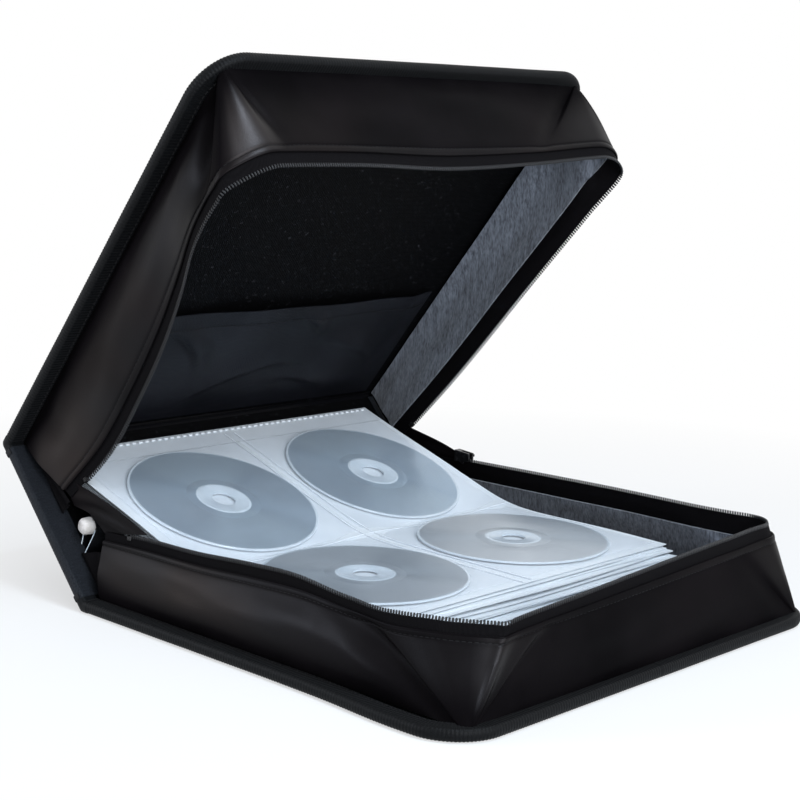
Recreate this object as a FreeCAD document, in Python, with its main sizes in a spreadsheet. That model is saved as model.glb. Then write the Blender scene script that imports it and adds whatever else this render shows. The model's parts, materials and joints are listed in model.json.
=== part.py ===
"""Zip-round media binder: two covers and a spine on living hinges, soft walls, and bound disc sleeves.

Millimetres. X runs along the hinges, -Y is the front, +Z is up. The origin is the centre of the base's
underside. The case stands open: the spine leans back and the lid leans over the base.
"""
import FreeCAD
import Part
import math
import os
from types import SimpleNamespace

import Sketcher

FOLDER = "parts"
X_AXIS = FreeCAD.Vector(1, 0, 0)
Y_AXIS = FreeCAD.Vector(0, 1, 0)
Z_AXIS = FreeCAD.Vector(0, 0, 1)
RIGHT_ANGLE = 90
HALF_TURN = 180

SIZES = {
    # Discs, and the films that hold them on the top leaf
    "disc_diameter": 120,
    "disc_hole": 15,
    "disc_thick": 1.2,
    "disc_clear": 0.15,
    "film_room": 3.3,
    "film_end_room": 2.8,
    "film_thick": 0.4,
    "film_wall": 1.2,
    "film_seam": 3.4,
    # Top leaf, from its front edge to its bound edge
    "leaf_thick": 0.8,
    "leaf_side": 6.3,
    "leaf_front": 4.5,
    "leaf_bind": 20.2,
    "leaf_bend_gap": 1,
    "leaf_bend_lift": 1.1,
    "leaf_clear": 0.5,
    "leaf_spine_gap": 11,
    "leaf_bind_share": 0.945,
    # Bundles of sleeves under it, lowest first: front edges, bound edges up the spine, gaps to the spine
    "bundle_thick": 5.26,
    "bundle_clear": 0.95,
    "floor_clear": 0.5,
    "near_room": 2.8,
    "far_room": 18.8,
    "front_room_1": 37.5,
    "front_room_2": 51.5,
    "front_room_3": 64,
    "front_room_4": 75,
    "front_room_5": 83,
    "bind_share_1": 0.148,
    "bind_share_2": 0.295,
    "bind_share_3": 0.418,
    "bind_share_4": 0.765,
    "bind_share_5": 0.865,
    "spine_gap_1": 1.6,
    "spine_gap_2": 7.4,
    "spine_gap_3": 15,
    "spine_gap_4": 4.8,
    "spine_gap_5": 4.6,
    # Covers and their layers, outside to inside
    "cover_length": 299,
    "cover_corner": 30,
    "spine_height": 115,
    "hinge_gap": 4.2,
    "fold_clear": 0.4,
    "fold_sweep_angle": 280,
    "fold_start_angle": 5,
    "tape_thick": 0.8,
    "tape_gap": 0.6,
    "skin_thick": 0.8,
    "board_thick": 2.6,
    "board_margin": 3,
    "lining_thick": 0.6,
    # Pose in degrees: the spine's lean from upright and the lid's rise from level
    "spine_lean_angle": 42.3,
    "lid_rise_angle": 52.45,
    # Soft walls: foot on the cover, rim at the zip
    "wall_thick": 1.2,
    "foot_inset_side": 11,
    "foot_inset_front": 7,
    "foot_corner": 6,
    "rim_inset_side": 16,
    "rim_inset_front": 10,
    "rim_corner": 34,
    "felt_thick": 1,
    "felt_drop": 8,
    "layer_clear": 0.1,
    # Zip
    "zip_tape_thick": 0.9,
    "zip_tape_gap": 0.2,
    "zip_tape_show": 6.2,
    "coil_radius": 1.2,
    "rim_gap": 0.6,
    "zip_end": 18,
    "stop_length": 3.5,
    "stop_clear": 0.15,
    "slider_length": 13,
    "slider_drop": 4.6,
    "slider_rise": 3.6,
    "slider_taper": 1.1,
    "slider_plate": 1.2,
    "slider_clear": 0.3,
    "slider_post": 4.5,
    "slider_park": 5.2,
    "bridge_reach": 3,
    "bridge_radius": 0.8,
    "bridge_length": 8.6,
    "ear_length": 1.5,
    "pull_clear": 0.06,
    "pull_wall": 0.9,
    "pull_width": 5.2,
    "pull_length": 26,
    "pull_thick": 1.2,
    # Pocket in the lid
    "pocket_side": 9.7,
    "pocket_depth": 102,
    "pocket_margin": 4,
    "pocket_seam": 5,
    "pocket_lift": 1,
    "pocket_sheet": 0.6,
    "pocket_hem_width": 9,
    "pocket_hem_thick": 0.8,
    # Rod in its hem on the spine: share of the way up, and off the middle of the spine's thickness
    "rod_share": 0.385,
    "rod_off": 13.9,
    "rod_radius": 5,
    "rod_end": 19,
    "rod_show": 2,
    "rod_clear": 0.1,
    "hem_thick": 0.8,
    "hem_drop": 17.3,
    "hem_foot": 4,
    # Webs between the walls at the ends of the spine
    "gusset_thick": 1,
    "gusset_clear": 0.4,
    "gusset_rim": 3.6,
    "gusset_base_drop": 2,
    "gusset_lid_drop": 7,
    "gusset_fold": 10,
    # Overrun of every cut past the face that it leaves
    "overrun": 2,
}

BUNDLES = ("1", "2", "3", "4", "5")
CORNER_FACETS = 6
COIL_SIDES = 6


class Size:
    """A number together with the sheet formula that it comes from."""

    def __init__(self, value, text):
        self.value = float(value)
        self.text = text

    def __add__(self, other):
        other = as_size(other)
        return Size(self.value + other.value, f"({self.text} + {other.text})")

    def __sub__(self, other):
        other = as_size(other)
        return Size(self.value - other.value, f"({self.text} - {other.text})")

    def __mul__(self, other):
        other = as_size(other)
        return Size(self.value * other.value, f"({self.text} * {other.text})")

    def __truediv__(self, other):
        other = as_size(other)
        return Size(self.value / other.value, f"({self.text} / {other.text})")

    def __neg__(self):
        return Size(-self.value, f"(-1 * {self.text})")


def as_size(number):
    """A plain number as a Size, or a Size as it is."""
    if isinstance(number, Size):
        return number
    return Size(number, repr(number))


def cosine(angle):
    """Cosine of an angle in degrees."""
    return Size(math.cos(math.radians(angle.value)), f"cos({angle.text} * 1deg)")


def sine(angle):
    """Sine of an angle in degrees."""
    return Size(math.sin(math.radians(angle.value)), f"sin({angle.text} * 1deg)")


def leg(long_side, side):
    """Third side of a right-angled triangle."""
    value = math.sqrt(long_side.value**2 - side.value**2)
    return Size(value, f"sqrt({long_side.text} ^ 2 - {side.text} ^ 2)")


doc = FreeCAD.newDocument("media_case")
sheet = doc.addObject("Spreadsheet::Sheet", "Sizes")
for row, (alias, number) in enumerate(SIZES.items(), 1):
    sheet.set(f"A{row}", alias)
    sheet.set(f"B{row}", str(number))
    sheet.setAlias(f"B{row}", alias)
doc.recompute()
s = SimpleNamespace(**{alias: Size(sheet.get(alias), f"Sizes.{alias}") for alias in SIZES})
nodes = []

# Levels through a cover, outer face at zero
ZERO = as_size(0)
SKIN_LEVEL = s.tape_thick
BOARD_LEVEL = SKIN_LEVEL + s.skin_thick
LINING_LEVEL = BOARD_LEVEL + s.board_thick
FLOOR_LEVEL = LINING_LEVEL + s.lining_thick
FLANGE_TOP = FLOOR_LEVEL + s.wall_thick
EDGE_THICK = FLANGE_TOP + s.tape_thick
AXIS_LEVEL = EDGE_THICK / 2

# Top leaf, as wide as its two discs, and the tray that takes it
FILM_WIDTH = s.disc_diameter + (s.film_room + s.film_wall) * 2
FILM_LENGTH = s.disc_diameter + s.film_wall + s.film_end_room
DISC_PITCH = FILM_WIDTH + s.film_seam
SLEEVE_WIDTH = DISC_PITCH + FILM_WIDTH + s.leaf_side * 2
SLEEVE_SHIFT = (s.near_room - s.far_room) / 2
RIM_ROOM = SLEEVE_WIDTH + s.near_room + s.far_room
RIM_LAYERS = s.wall_thick + s.layer_clear + s.zip_tape_thick

# Plan of a cover, hinge axis at the back
HALF_WIDTH = RIM_ROOM / 2 + RIM_LAYERS + s.rim_inset_side
HINGE_Y = s.cover_length / 2
FRONT_Y = -HINGE_Y
END_Y = HINGE_Y - s.hinge_gap

# Heights of the zip
CLOSED_HEIGHT = s.spine_height + EDGE_THICK
RIM_TOP = (CLOSED_HEIGHT - s.rim_gap) / 2
COIL_LEVEL = RIM_TOP - s.coil_radius
TAPE_TOP = COIL_LEVEL - s.coil_radius
WALL_TOP = TAPE_TOP - s.zip_tape_show
FELT_TOP = WALL_TOP - s.felt_drop
ZIP_END_Y = END_Y - s.zip_end

# Upper hinge axis, and the rod
SPINE_RISE = RIGHT_ANGLE - s.spine_lean_angle.value
UPPER_Y = HINGE_Y + s.spine_height * sine(s.spine_lean_angle)
UPPER_Z = AXIS_LEVEL + s.spine_height * cosine(s.spine_lean_angle)
ROD_UP = s.spine_height * s.rod_share
ROD_Y = HINGE_Y + ROD_UP * sine(s.spine_lean_angle) - s.rod_off * cosine(s.spine_lean_angle)
ROD_Z = AXIS_LEVEL + ROD_UP * cosine(s.spine_lean_angle) + s.rod_off * sine(s.spine_lean_angle)
ROD_BORE = s.rod_radius + s.rod_clear
HEM_RADIUS = ROD_BORE + s.hem_thick

# Bend of the sleeves, worked out from the top leaf's bound edge on the spine
STACK_TOP = FLOOR_LEVEL + s.floor_clear + (s.bundle_thick + s.bundle_clear) * len(BUNDLES) - s.bundle_clear
LEAF_LEVEL = STACK_TOP + s.leaf_clear
LEAF_BEND_Z = LEAF_LEVEL + s.leaf_bend_lift
LEAF_REACH = s.leaf_bend_gap + FILM_LENGTH


def spine_face(level):
    """How far back the inner face of the leaning spine lies at a level."""
    return HINGE_Y + ((level - AXIS_LEVEL) * sine(s.spine_lean_angle) - AXIS_LEVEL) / cosine(s.spine_lean_angle)


def up_the_spine(share):
    """Level at a share of the spine's rise."""
    return AXIS_LEVEL + s.spine_height * cosine(s.spine_lean_angle) * share


LEAF_BIND_Z = up_the_spine(s.leaf_bind_share)
LEAF_BIND_Y = spine_face(LEAF_BIND_Z) - s.leaf_spine_gap
BEND_Y = LEAF_BIND_Y - leg(LEAF_REACH + s.leaf_bind, LEAF_BIND_Z - LEAF_BEND_Z)


def turn(axis, degrees):
    """Placement that only turns."""
    return FreeCAD.Placement(FreeCAD.Vector(), FreeCAD.Rotation(axis, degrees))


def move(x, y, z):
    """Placement that only moves."""
    return FreeCAD.Placement(FreeCAD.Vector(x.value, y.value, z.value), FreeCAD.Rotation())


BASE_PLACE = FreeCAD.Placement()
SPINE_PLACE = move(ZERO, HINGE_Y, AXIS_LEVEL) * turn(X_AXIS, SPINE_RISE) * move(ZERO, ZERO, -AXIS_LEVEL)
LID_PLACE = (
    move(ZERO, UPPER_Y, UPPER_Z)
    * turn(X_AXIS, -s.lid_rise_angle.value)
    * turn(Y_AXIS, HALF_TURN)
    * move(ZERO, -HINGE_Y, -AXIS_LEVEL)
)


def keep(shape_object, label, placement=BASE_PLACE):
    """Names a finished sub-part and puts it in its place."""
    shape_object.Label = label
    shape_object.Placement = placement
    nodes.append(shape_object)
    return shape_object


def new_body(label):
    """Empty body for one sub-part."""
    return doc.addObject("PartDesign::Body", f"{label}_body")


def new_sketch(body, name, role, offset=ZERO):
    """Sketch on one of the body's own origin planes, shifted along the plane's normal."""
    plane = next(f for f in body.Origin.OriginFeatures if f.Role == role)
    sketch = body.newObject("Sketcher::SketchObject", name)
    sketch.AttachmentSupport = (plane, [""])
    sketch.MapMode = "FlatFace"
    sketch.setExpression("AttachmentOffset.Base.z", offset.text)
    return sketch


def constrain(sketch, kind, *where, size):
    """Dimension bound to the sheet."""
    index = sketch.addConstraint(Sketcher.Constraint(kind, *where, size.value))
    sketch.setExpression(f"Constraints[{index}]", size.text)


def tray_outline(body, name, level, half_width, front, back, radius, closed=True):
    """Outline with two rounded front corners, straight across the back or open there."""
    sketch = new_sketch(body, name, "XY_Plane", level)
    w, f, b, r = half_width.value, front.value, back.value, radius.value
    quarter = math.pi / 2

    def line(x0, y0, x1, y1):
        return Part.LineSegment(FreeCAD.Vector(x0, y0, 0), FreeCAD.Vector(x1, y1, 0))

    def arc(x, y, start):
        circle = Part.Circle(FreeCAD.Vector(x, y, 0), Z_AXIS, r)
        return Part.ArcOfCircle(circle, start, start + quarter)

    front_line = sketch.addGeometry(line(r - w, f, w - r, f))
    right_arc = sketch.addGeometry(arc(w - r, f + r, -quarter))
    right_line = sketch.addGeometry(line(w, f + r, w, b))
    left_line = sketch.addGeometry(line(-w, b, -w, f + r))
    left_arc = sketch.addGeometry(arc(r - w, f + r, 2 * quarter))
    for first, second in (
        (front_line, right_arc),
        (right_arc, right_line),
        (left_line, left_arc),
        (left_arc, front_line),
    ):
        sketch.addConstraint(Sketcher.Constraint("Tangent", first, 2, second, 1))
    sketch.addConstraint(Sketcher.Constraint("Horizontal", front_line))
    sketch.addConstraint(Sketcher.Constraint("Vertical", right_line))
    sketch.addConstraint(Sketcher.Constraint("Vertical", left_line))
    sketch.addConstraint(Sketcher.Constraint("Symmetric", right_line, 2, left_line, 1, -2))
    sketch.addConstraint(Sketcher.Constraint("Equal", right_arc, left_arc))
    if closed:
        back_line = sketch.addGeometry(line(w, b, -w, b))
        sketch.addConstraint(Sketcher.Constraint("Coincident", right_line, 2, back_line, 1))
        sketch.addConstraint(Sketcher.Constraint("Coincident", back_line, 2, left_line, 1))
    constrain(sketch, "DistanceX", -1, 1, right_line, 2, size=half_width)
    constrain(sketch, "DistanceY", -1, 1, right_line, 2, size=back)
    constrain(sketch, "DistanceY", -1, 1, front_line, 1, size=front)
    constrain(sketch, "Radius", right_arc, size=radius)
    return sketch


def polygon(body, name, role, offset, points):
    """Closed outline of straight lines, every corner bound to the sheet."""
    sketch = new_sketch(body, name, role, offset)
    count = len(points)
    for index, (x, y) in enumerate(points):
        following = points[(index + 1) % count]
        start = FreeCAD.Vector(x.value, y.value, 0)
        end = FreeCAD.Vector(following[0].value, following[1].value, 0)
        sketch.addGeometry(Part.LineSegment(start, end))
    for index, (x, y) in enumerate(points):
        sketch.addConstraint(Sketcher.Constraint("Coincident", index, 2, (index + 1) % count, 1))
        constrain(sketch, "DistanceX", -1, 1, index, 1, size=x)
        constrain(sketch, "DistanceY", -1, 1, index, 1, size=y)
    return sketch


def rectangle(body, name, role, offset, low, high):
    """Closed rectangle between two opposite corners."""
    points = [(low[0], low[1]), (high[0], low[1]), (high[0], high[1]), (low[0], high[1])]
    return polygon(body, name, role, offset, points)


def ring(body, name, role, offset, centre, radii):
    """One circle, or two round the same centre."""
    sketch = new_sketch(body, name, role, offset)
    point = FreeCAD.Vector(centre[0].value, centre[1].value, 0)
    for radius in radii:
        circle = sketch.addGeometry(Part.Circle(point, Z_AXIS, radius.value))
        constrain(sketch, "Radius", circle, size=radius)
        constrain(sketch, "DistanceX", -1, 1, circle, 3, size=centre[0])
        constrain(sketch, "DistanceY", -1, 1, circle, 3, size=centre[1])
    return sketch


def pad(body, name, sketch, length, backward=False):
    """Solid grown from a sketch along its normal, or against it."""
    feature = body.newObject("PartDesign::Pad", name)
    feature.Profile = sketch
    feature.setExpression("Length", length.text)
    feature.Reversed = backward
    return feature


def pocket(body, name, sketch, length, backward=False):
    """Cut from a sketch along its normal, or against it. It has to take material away."""
    doc.recompute()
    before = body.Shape.Volume
    feature = body.newObject("PartDesign::Pocket", name)
    feature.Profile = sketch
    feature.setExpression("Length", length.text)
    feature.Reversed = not backward
    doc.recompute()
    if body.Shape.Volume >= before:
        raise RuntimeError(f"{name} cuts nothing")
    return feature


def loft(body, kind, name, first, second):
    """Ruled loft between two outlines, added or taken away."""
    feature = body.newObject(f"PartDesign::{kind}Loft", name)
    feature.Profile = first
    feature.Sections = [second]
    feature.Ruled = True
    return feature


def wall_line(level, inward):
    """Half width, front and corner radius of the soft wall at a level, moved inwards from outside."""
    share = (level - FLOOR_LEVEL) / (WALL_TOP - FLOOR_LEVEL)
    side = s.foot_inset_side + (s.rim_inset_side - s.foot_inset_side) * share
    front = s.foot_inset_front + (s.rim_inset_front - s.foot_inset_front) * share
    corner = s.foot_corner + (s.rim_corner - s.foot_corner) * share
    return HALF_WIDTH - side - inward, FRONT_Y + front + inward, corner - inward


def smooth_outline(body, name, level, inward, back):
    """Outline of the wall with round corners."""
    half_width, front, corner = wall_line(level, inward)
    return tray_outline(body, name, level, half_width, front, back, corner)


def faceted_outline(body, name, level, inward, back):
    """Outline of the wall with corners of short flat runs, for the hidden layers."""
    half_width, front, corner = wall_line(level, inward)
    right_side = [(half_width, back)]
    for step in range(CORNER_FACETS + 1):
        angle = math.pi / 2 * step / CORNER_FACETS
        across_share = 1 - math.cos(angle)
        along_share = 1 - math.sin(angle)
        right_side.append((half_width - corner * across_share, front + corner * along_share))
    left_side = [(-x, y) for x, y in reversed(right_side)]
    return polygon(body, name, "XY_Plane", level, right_side + left_side)


def wall_layer(body, name, levels, inward, thick, outline):
    """Band that follows the soft wall between two levels, open at the hinge end."""
    ends = ("low", "high")
    outer = [outline(body, f"{name}_outer_{e}", z, inward, END_Y) for e, z in zip(ends, levels)]
    loft(body, "Additive", f"{name}_outer", *outer)
    depth = inward + thick
    open_back = END_Y + s.overrun
    inner = [faceted_outline(body, f"{name}_inner_{e}", z, depth, open_back) for e, z in zip(ends, levels)]
    loft(body, "Subtractive", f"{name}_inner", *inner)


def cover_plate(body, name, level, inset, thick):
    """Flat plate as large as the cover less an inset."""
    sketch = tray_outline(
        body, f"{name}_outline", level, HALF_WIDTH - inset, FRONT_Y + inset, END_Y, s.cover_corner - inset
    )
    return pad(body, name, sketch, thick)


def tape_field(body, name, level, inward, back):
    """Outline just outside the foot of the wall, where the edge tape ends."""
    gap = s.tape_gap - inward
    return tray_outline(
        body,
        name,
        level,
        HALF_WIDTH - s.foot_inset_side + gap,
        FRONT_Y + s.foot_inset_front - gap,
        back,
        s.foot_corner + gap,
    )


def cover_skin(label, placement):
    """Leatherette outside, padded level with the edge tape."""
    body = new_body(label)
    cover_plate(body, f"{label}_sheet", SKIN_LEVEL, s.tape_thick, s.skin_thick)
    field = tape_field(body, f"{label}_field_outline", ZERO, s.layer_clear, END_Y)
    pad(body, f"{label}_field", field, s.tape_thick)
    keep(body, label, placement)


def cover_board(label, placement):
    """Stiffening board, short of the seam."""
    body = new_body(label)
    cover_plate(body, f"{label}_sheet", BOARD_LEVEL, s.tape_thick + s.board_margin, s.board_thick)
    keep(body, label, placement)


def cover_lining(label, placement):
    """Lining on the inside of the cover."""
    body = new_body(label)
    cover_plate(body, f"{label}_sheet", LINING_LEVEL, s.tape_thick, s.lining_thick)
    keep(body, label, placement)


def cover_binding(label, placement):
    """Edge tape folded over cover and wall flange on the three free sides."""
    body = new_body(label)
    cover_plate(body, f"{label}_block", ZERO, ZERO, EDGE_THICK)
    open_back = END_Y + s.overrun
    middle = tape_field(body, f"{label}_middle_outline", -s.overrun, ZERO, open_back)
    pocket(body, f"{label}_middle", middle, EDGE_THICK + s.overrun * 2)
    slot = tray_outline(
        body,
        f"{label}_slot_outline",
        SKIN_LEVEL,
        HALF_WIDTH - s.tape_thick,
        FRONT_Y + s.tape_thick,
        open_back,
        s.cover_corner - s.tape_thick,
    )
    pocket(body, f"{label}_slot", slot, FLANGE_TOP - SKIN_LEVEL)
    keep(body, label, placement)


def soft_wall(label, placement):
    """Leatherette wall on a seam flange: corners pinched at the foot and round at the rim."""
    body = new_body(label)
    cover_plate(body, f"{label}_flange", FLOOR_LEVEL, s.tape_thick, s.wall_thick)
    wall_layer(body, label, (FLOOR_LEVEL, WALL_TOP), ZERO, s.wall_thick, smooth_outline)
    keep(body, label, placement)


def wall_felt(label, placement):
    """Felt on the inside of the wall."""
    body = new_body(label)
    inward = s.wall_thick + s.layer_clear
    wall_layer(body, label, (FLOOR_LEVEL, FELT_TOP), inward, s.felt_thick, faceted_outline)
    keep(body, label, placement)


def zip_tape(label, placement):
    """Woven tape between the felt and the coil."""
    body = new_body(label)
    inward = s.wall_thick + s.layer_clear
    levels = (FELT_TOP + s.zip_tape_gap, TAPE_TOP)
    wall_layer(body, label, levels, inward, s.zip_tape_thick, faceted_outline)
    keep(body, label, placement)


def coil_line():
    """Half width, front and corner radius of the line along which the coil runs."""
    return wall_line(COIL_LEVEL, s.wall_thick + s.layer_clear + s.zip_tape_thick / 2)


def zip_coil(label, placement):
    """Coil of the zip, one six-sided bead round the rim."""
    body = new_body(label)
    half_width, front, corner = coil_line()
    back = ZIP_END_Y - s.stop_length - s.stop_clear
    path = tray_outline(body, f"{label}_path", COIL_LEVEL, half_width, front, back, corner, closed=False)
    points = []
    for side in range(COIL_SIDES):
        angle = 2 * math.pi * side / COIL_SIDES
        across_share, up_share = math.cos(angle), math.sin(angle)
        points.append((half_width + s.coil_radius * across_share, COIL_LEVEL + s.coil_radius * up_share))
    end = polygon(body, f"{label}_end", "XZ_Plane", -back, points)
    bead = body.newObject("PartDesign::AdditivePipe", f"{label}_bead")
    bead.Profile = end
    bead.Spine = path
    keep(body, label, placement)


def zip_stops(label, placement):
    """The two end stops of the coil, on the top edge of the tape."""
    half_width = coil_line()[0]
    stops = []
    for side, name in ((-1, "near"), (1, "far")):
        stop = doc.addObject("Part::Box", f"{label}_{name}")
        stop.setExpression("Length", (s.coil_radius * 2).text)
        stop.setExpression("Width", s.stop_length.text)
        stop.setExpression("Height", (s.coil_radius * 2).text)
        corner = half_width * side - s.coil_radius
        stop.setExpression("Placement.Base.x", corner.text)
        stop.setExpression("Placement.Base.y", (ZIP_END_Y - s.stop_length).text)
        stop.setExpression("Placement.Base.z", TAPE_TOP.text)
        stops.append(stop)
    group = doc.addObject("Part::Compound", f"{label}_group")
    group.Links = stops
    keep(group, label, placement)


def half_shell(prefix, placement):
    """Everything that base and lid have alike."""
    cover_skin(f"{prefix}_skin", placement)
    cover_board(f"{prefix}_board", placement)
    cover_lining(f"{prefix}_lining", placement)
    cover_binding(f"{prefix}_binding", placement)
    soft_wall(f"{prefix}_wall", placement)
    wall_felt(f"{prefix}_wall_felt", placement)
    zip_tape(f"{prefix}_zip_tape", placement)
    zip_coil(f"{prefix}_zip_coil", placement)
    zip_stops(f"{prefix}_zip_stops", placement)


def spine_plate(body, name, level, inset, thick):
    """Flat plate between the two hinges, as wide as the cover less an inset."""
    low = (inset - HALF_WIDTH, s.hinge_gap)
    high = (HALF_WIDTH - inset, s.spine_height - s.hinge_gap)
    return pad(body, name, rectangle(body, f"{name}_outline", "XY_Plane", level, low, high), thick)


def spine():
    """Leatherette, board and vinyl lining of the spine, and the tape on its two ends."""
    skin = new_body("spine_skin")
    spine_plate(skin, "spine_skin_sheet", SKIN_LEVEL, s.tape_thick, s.skin_thick)
    tape_width = s.foot_inset_side - s.tape_gap
    spine_plate(skin, "spine_skin_field", ZERO, tape_width + s.layer_clear, s.tape_thick)
    keep(skin, "spine_skin", SPINE_PLACE)

    board = new_body("spine_board")
    board_thick = s.board_thick + s.wall_thick
    spine_plate(board, "spine_board_sheet", BOARD_LEVEL, s.tape_thick + s.board_margin, board_thick)
    keep(board, "spine_board", SPINE_PLACE)

    lining = new_body("spine_lining")
    spine_plate(lining, "spine_lining_sheet", BOARD_LEVEL + board_thick, s.tape_thick, s.lining_thick)
    keep(lining, "spine_lining", SPINE_PLACE)

    for side, end in ((-1, "near"), (1, "far")):
        label = f"spine_{end}_binding"
        edge = HALF_WIDTH * side
        inside = (HALF_WIDTH - s.tape_thick) * side
        flange = (HALF_WIDTH - tape_width) * side
        points = [
            (edge, ZERO),
            (flange, ZERO),
            (flange, SKIN_LEVEL),
            (inside, SKIN_LEVEL),
            (inside, FLANGE_TOP),
            (flange, FLANGE_TOP),
            (flange, EDGE_THICK),
            (edge, EDGE_THICK),
        ]
        body = new_body(label)
        section = polygon(body, f"{label}_section", "XZ_Plane", -s.hinge_gap, points)
        pad(body, f"{label}_fold", section, s.spine_height - s.hinge_gap * 2, backward=True)
        keep(body, label, SPINE_PLACE)


def fold(label, up_the_spine, placement):
    """Leatherette rolled round a hinge line, open on the inside of the case."""
    outside = s.hinge_gap - s.fold_clear
    tubes = []
    for name, radius in (("outer", outside), ("inner", outside - s.skin_thick)):
        tube = doc.addObject("Part::Cylinder", f"{label}_{name}")
        tube.setExpression("Radius", radius.text)
        tube.setExpression("Height", ((HALF_WIDTH - s.tape_thick) * 2).text)
        tube.setExpression("Angle", s.fold_sweep_angle.text)
        tubes.append(tube)
    rolled = doc.addObject("Part::Cut", f"{label}_cut")
    rolled.Base, rolled.Tool = tubes
    along_hinge = move(s.tape_thick - HALF_WIDTH, up_the_spine, AXIS_LEVEL) * turn(Y_AXIS, RIGHT_ANGLE)
    start = turn(Z_AXIS, -RIGHT_ANGLE - s.fold_start_angle.value)
    keep(rolled, label, placement * along_hinge * start)


def binder_rod():
    """Rod that holds the bound edges, and the vinyl hem that carries it on the spine."""
    centre = (ROD_UP, AXIS_LEVEL + s.rod_off)
    half_rod = HALF_WIDTH - s.rod_end
    rod = new_body("binder_rod")
    end = ring(rod, "binder_rod_end", "YZ_Plane", -half_rod, centre, [s.rod_radius])
    pad(rod, "binder_rod_length", end, half_rod * 2)
    keep(rod, "binder_rod", SPINE_PLACE)

    hem = new_body("rod_hem")
    half_hem = half_rod - s.rod_show
    tube = ring(hem, "rod_hem_end", "YZ_Plane", -half_hem, centre, [HEM_RADIUS])
    pad(hem, "rod_hem_tube", tube, half_hem * 2)
    foot = ROD_UP - s.hem_drop
    web_points = [
        (foot - s.hem_foot / 2, FLANGE_TOP),
        (foot + s.hem_foot / 2, FLANGE_TOP),
        (ROD_UP, centre[1] - HEM_RADIUS),
        (ROD_UP - HEM_RADIUS, centre[1]),
    ]
    web = polygon(hem, "rod_hem_web_section", "YZ_Plane", -half_hem, web_points)
    pad(hem, "rod_hem_web", web, half_hem * 2)
    hole = ring(hem, "rod_hem_bore_end", "YZ_Plane", -half_hem - s.overrun, centre, [ROD_BORE])
    pocket(hem, "rod_hem_bore", hole, (half_hem + s.overrun) * 2)
    keep(hem, "rod_hem", SPINE_PLACE)


def lid_pocket():
    """Flat pocket sewn to the lid on three sides, with a hem on its mouth."""
    half = HALF_WIDTH - s.foot_inset_side - s.wall_thick - s.layer_clear - s.felt_thick - s.pocket_side
    back = END_Y - s.pocket_margin
    mouth = back - s.pocket_depth
    body = new_body("lid_pocket")
    seam_points = [
        (-half, mouth),
        (s.pocket_seam - half, mouth),
        (s.pocket_seam - half, back - s.pocket_seam),
        (half - s.pocket_seam, back - s.pocket_seam),
        (half - s.pocket_seam, mouth),
        (half, mouth),
        (half, back),
        (-half, back),
    ]
    seam = polygon(body, "lid_pocket_seam_outline", "XY_Plane", FLOOR_LEVEL, seam_points)
    pad(body, "lid_pocket_seam", seam, s.pocket_lift)
    sheet_level = FLOOR_LEVEL + s.pocket_lift
    face = rectangle(body, "lid_pocket_outline", "XY_Plane", sheet_level, (-half, mouth), (half, back))
    pad(body, "lid_pocket_sheet", face, s.pocket_sheet)
    keep(body, "lid_pocket", LID_PLACE)

    hem = new_body("lid_pocket_hem")
    hem_level = sheet_level + s.pocket_sheet
    high = (half, mouth + s.pocket_hem_width)
    strip = rectangle(hem, "lid_pocket_hem_outline", "XY_Plane", hem_level, (-half, mouth), high)
    pad(hem, "lid_pocket_hem_strip", strip, s.pocket_hem_thick)
    keep(hem, "lid_pocket_hem", LID_PLACE)


def on_lid(y, level):
    """Place of a lid point in the standing case: its y and z."""
    reach = HINGE_Y - y
    depth = level - AXIS_LEVEL
    return (
        UPPER_Y - reach * cosine(s.lid_rise_angle) - depth * sine(s.lid_rise_angle),
        UPPER_Z + reach * sine(s.lid_rise_angle) - depth * cosine(s.lid_rise_angle),
    )


def gussets():
    """Leatherette webs from the end of the base wall to the end of the lid wall."""
    clear_y = END_Y + s.gusset_clear
    high = RIM_TOP - s.gusset_rim
    points = [
        (clear_y, WALL_TOP - s.gusset_base_drop),
        (clear_y, high),
        on_lid(clear_y, high),
        on_lid(clear_y, WALL_TOP - s.gusset_lid_drop),
        (ROD_Y + s.gusset_fold, ROD_Z + HEM_RADIUS + s.gusset_clear),
    ]
    outside = HALF_WIDTH - s.rim_inset_side + s.gusset_thick
    for offset, end in ((-outside, "near"), (outside - s.gusset_thick, "far")):
        label = f"{end}_gusset"
        body = new_body(label)
        web = polygon(body, f"{label}_outline", "YZ_Plane", offset, points)
        pad(body, f"{label}_web", web, s.gusset_thick)
        keep(body, label)


def bent_sheet(body, name, corners, thick):
    """Sheet as wide as the sleeves: level in front, rising from a bend to its bound edge."""
    points = corners + [(y, z + thick) for y, z in reversed(corners)]
    section = polygon(body, f"{name}_section", "YZ_Plane", SLEEVE_SHIFT - SLEEVE_WIDTH / 2, points)
    pad(body, f"{name}_sheet", section, SLEEVE_WIDTH)


def sleeve_bundles():
    """Bundles of sleeves between the floor and the top leaf."""
    for order, number in enumerate(BUNDLES):
        label = f"sleeves_{number}"
        level = FLOOR_LEVEL + s.floor_clear + (s.bundle_thick + s.bundle_clear) * order
        front_y = FRONT_Y + getattr(s, f"front_room_{number}")
        bind_z = up_the_spine(getattr(s, f"bind_share_{number}")) - s.bundle_thick
        bind_y = spine_face(bind_z) - getattr(s, f"spine_gap_{number}")
        body = new_body(label)
        bent_sheet(body, label, [(front_y, level), (BEND_Y, level), (bind_y, bind_z)], s.bundle_thick)
        keep(body, label)


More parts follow.
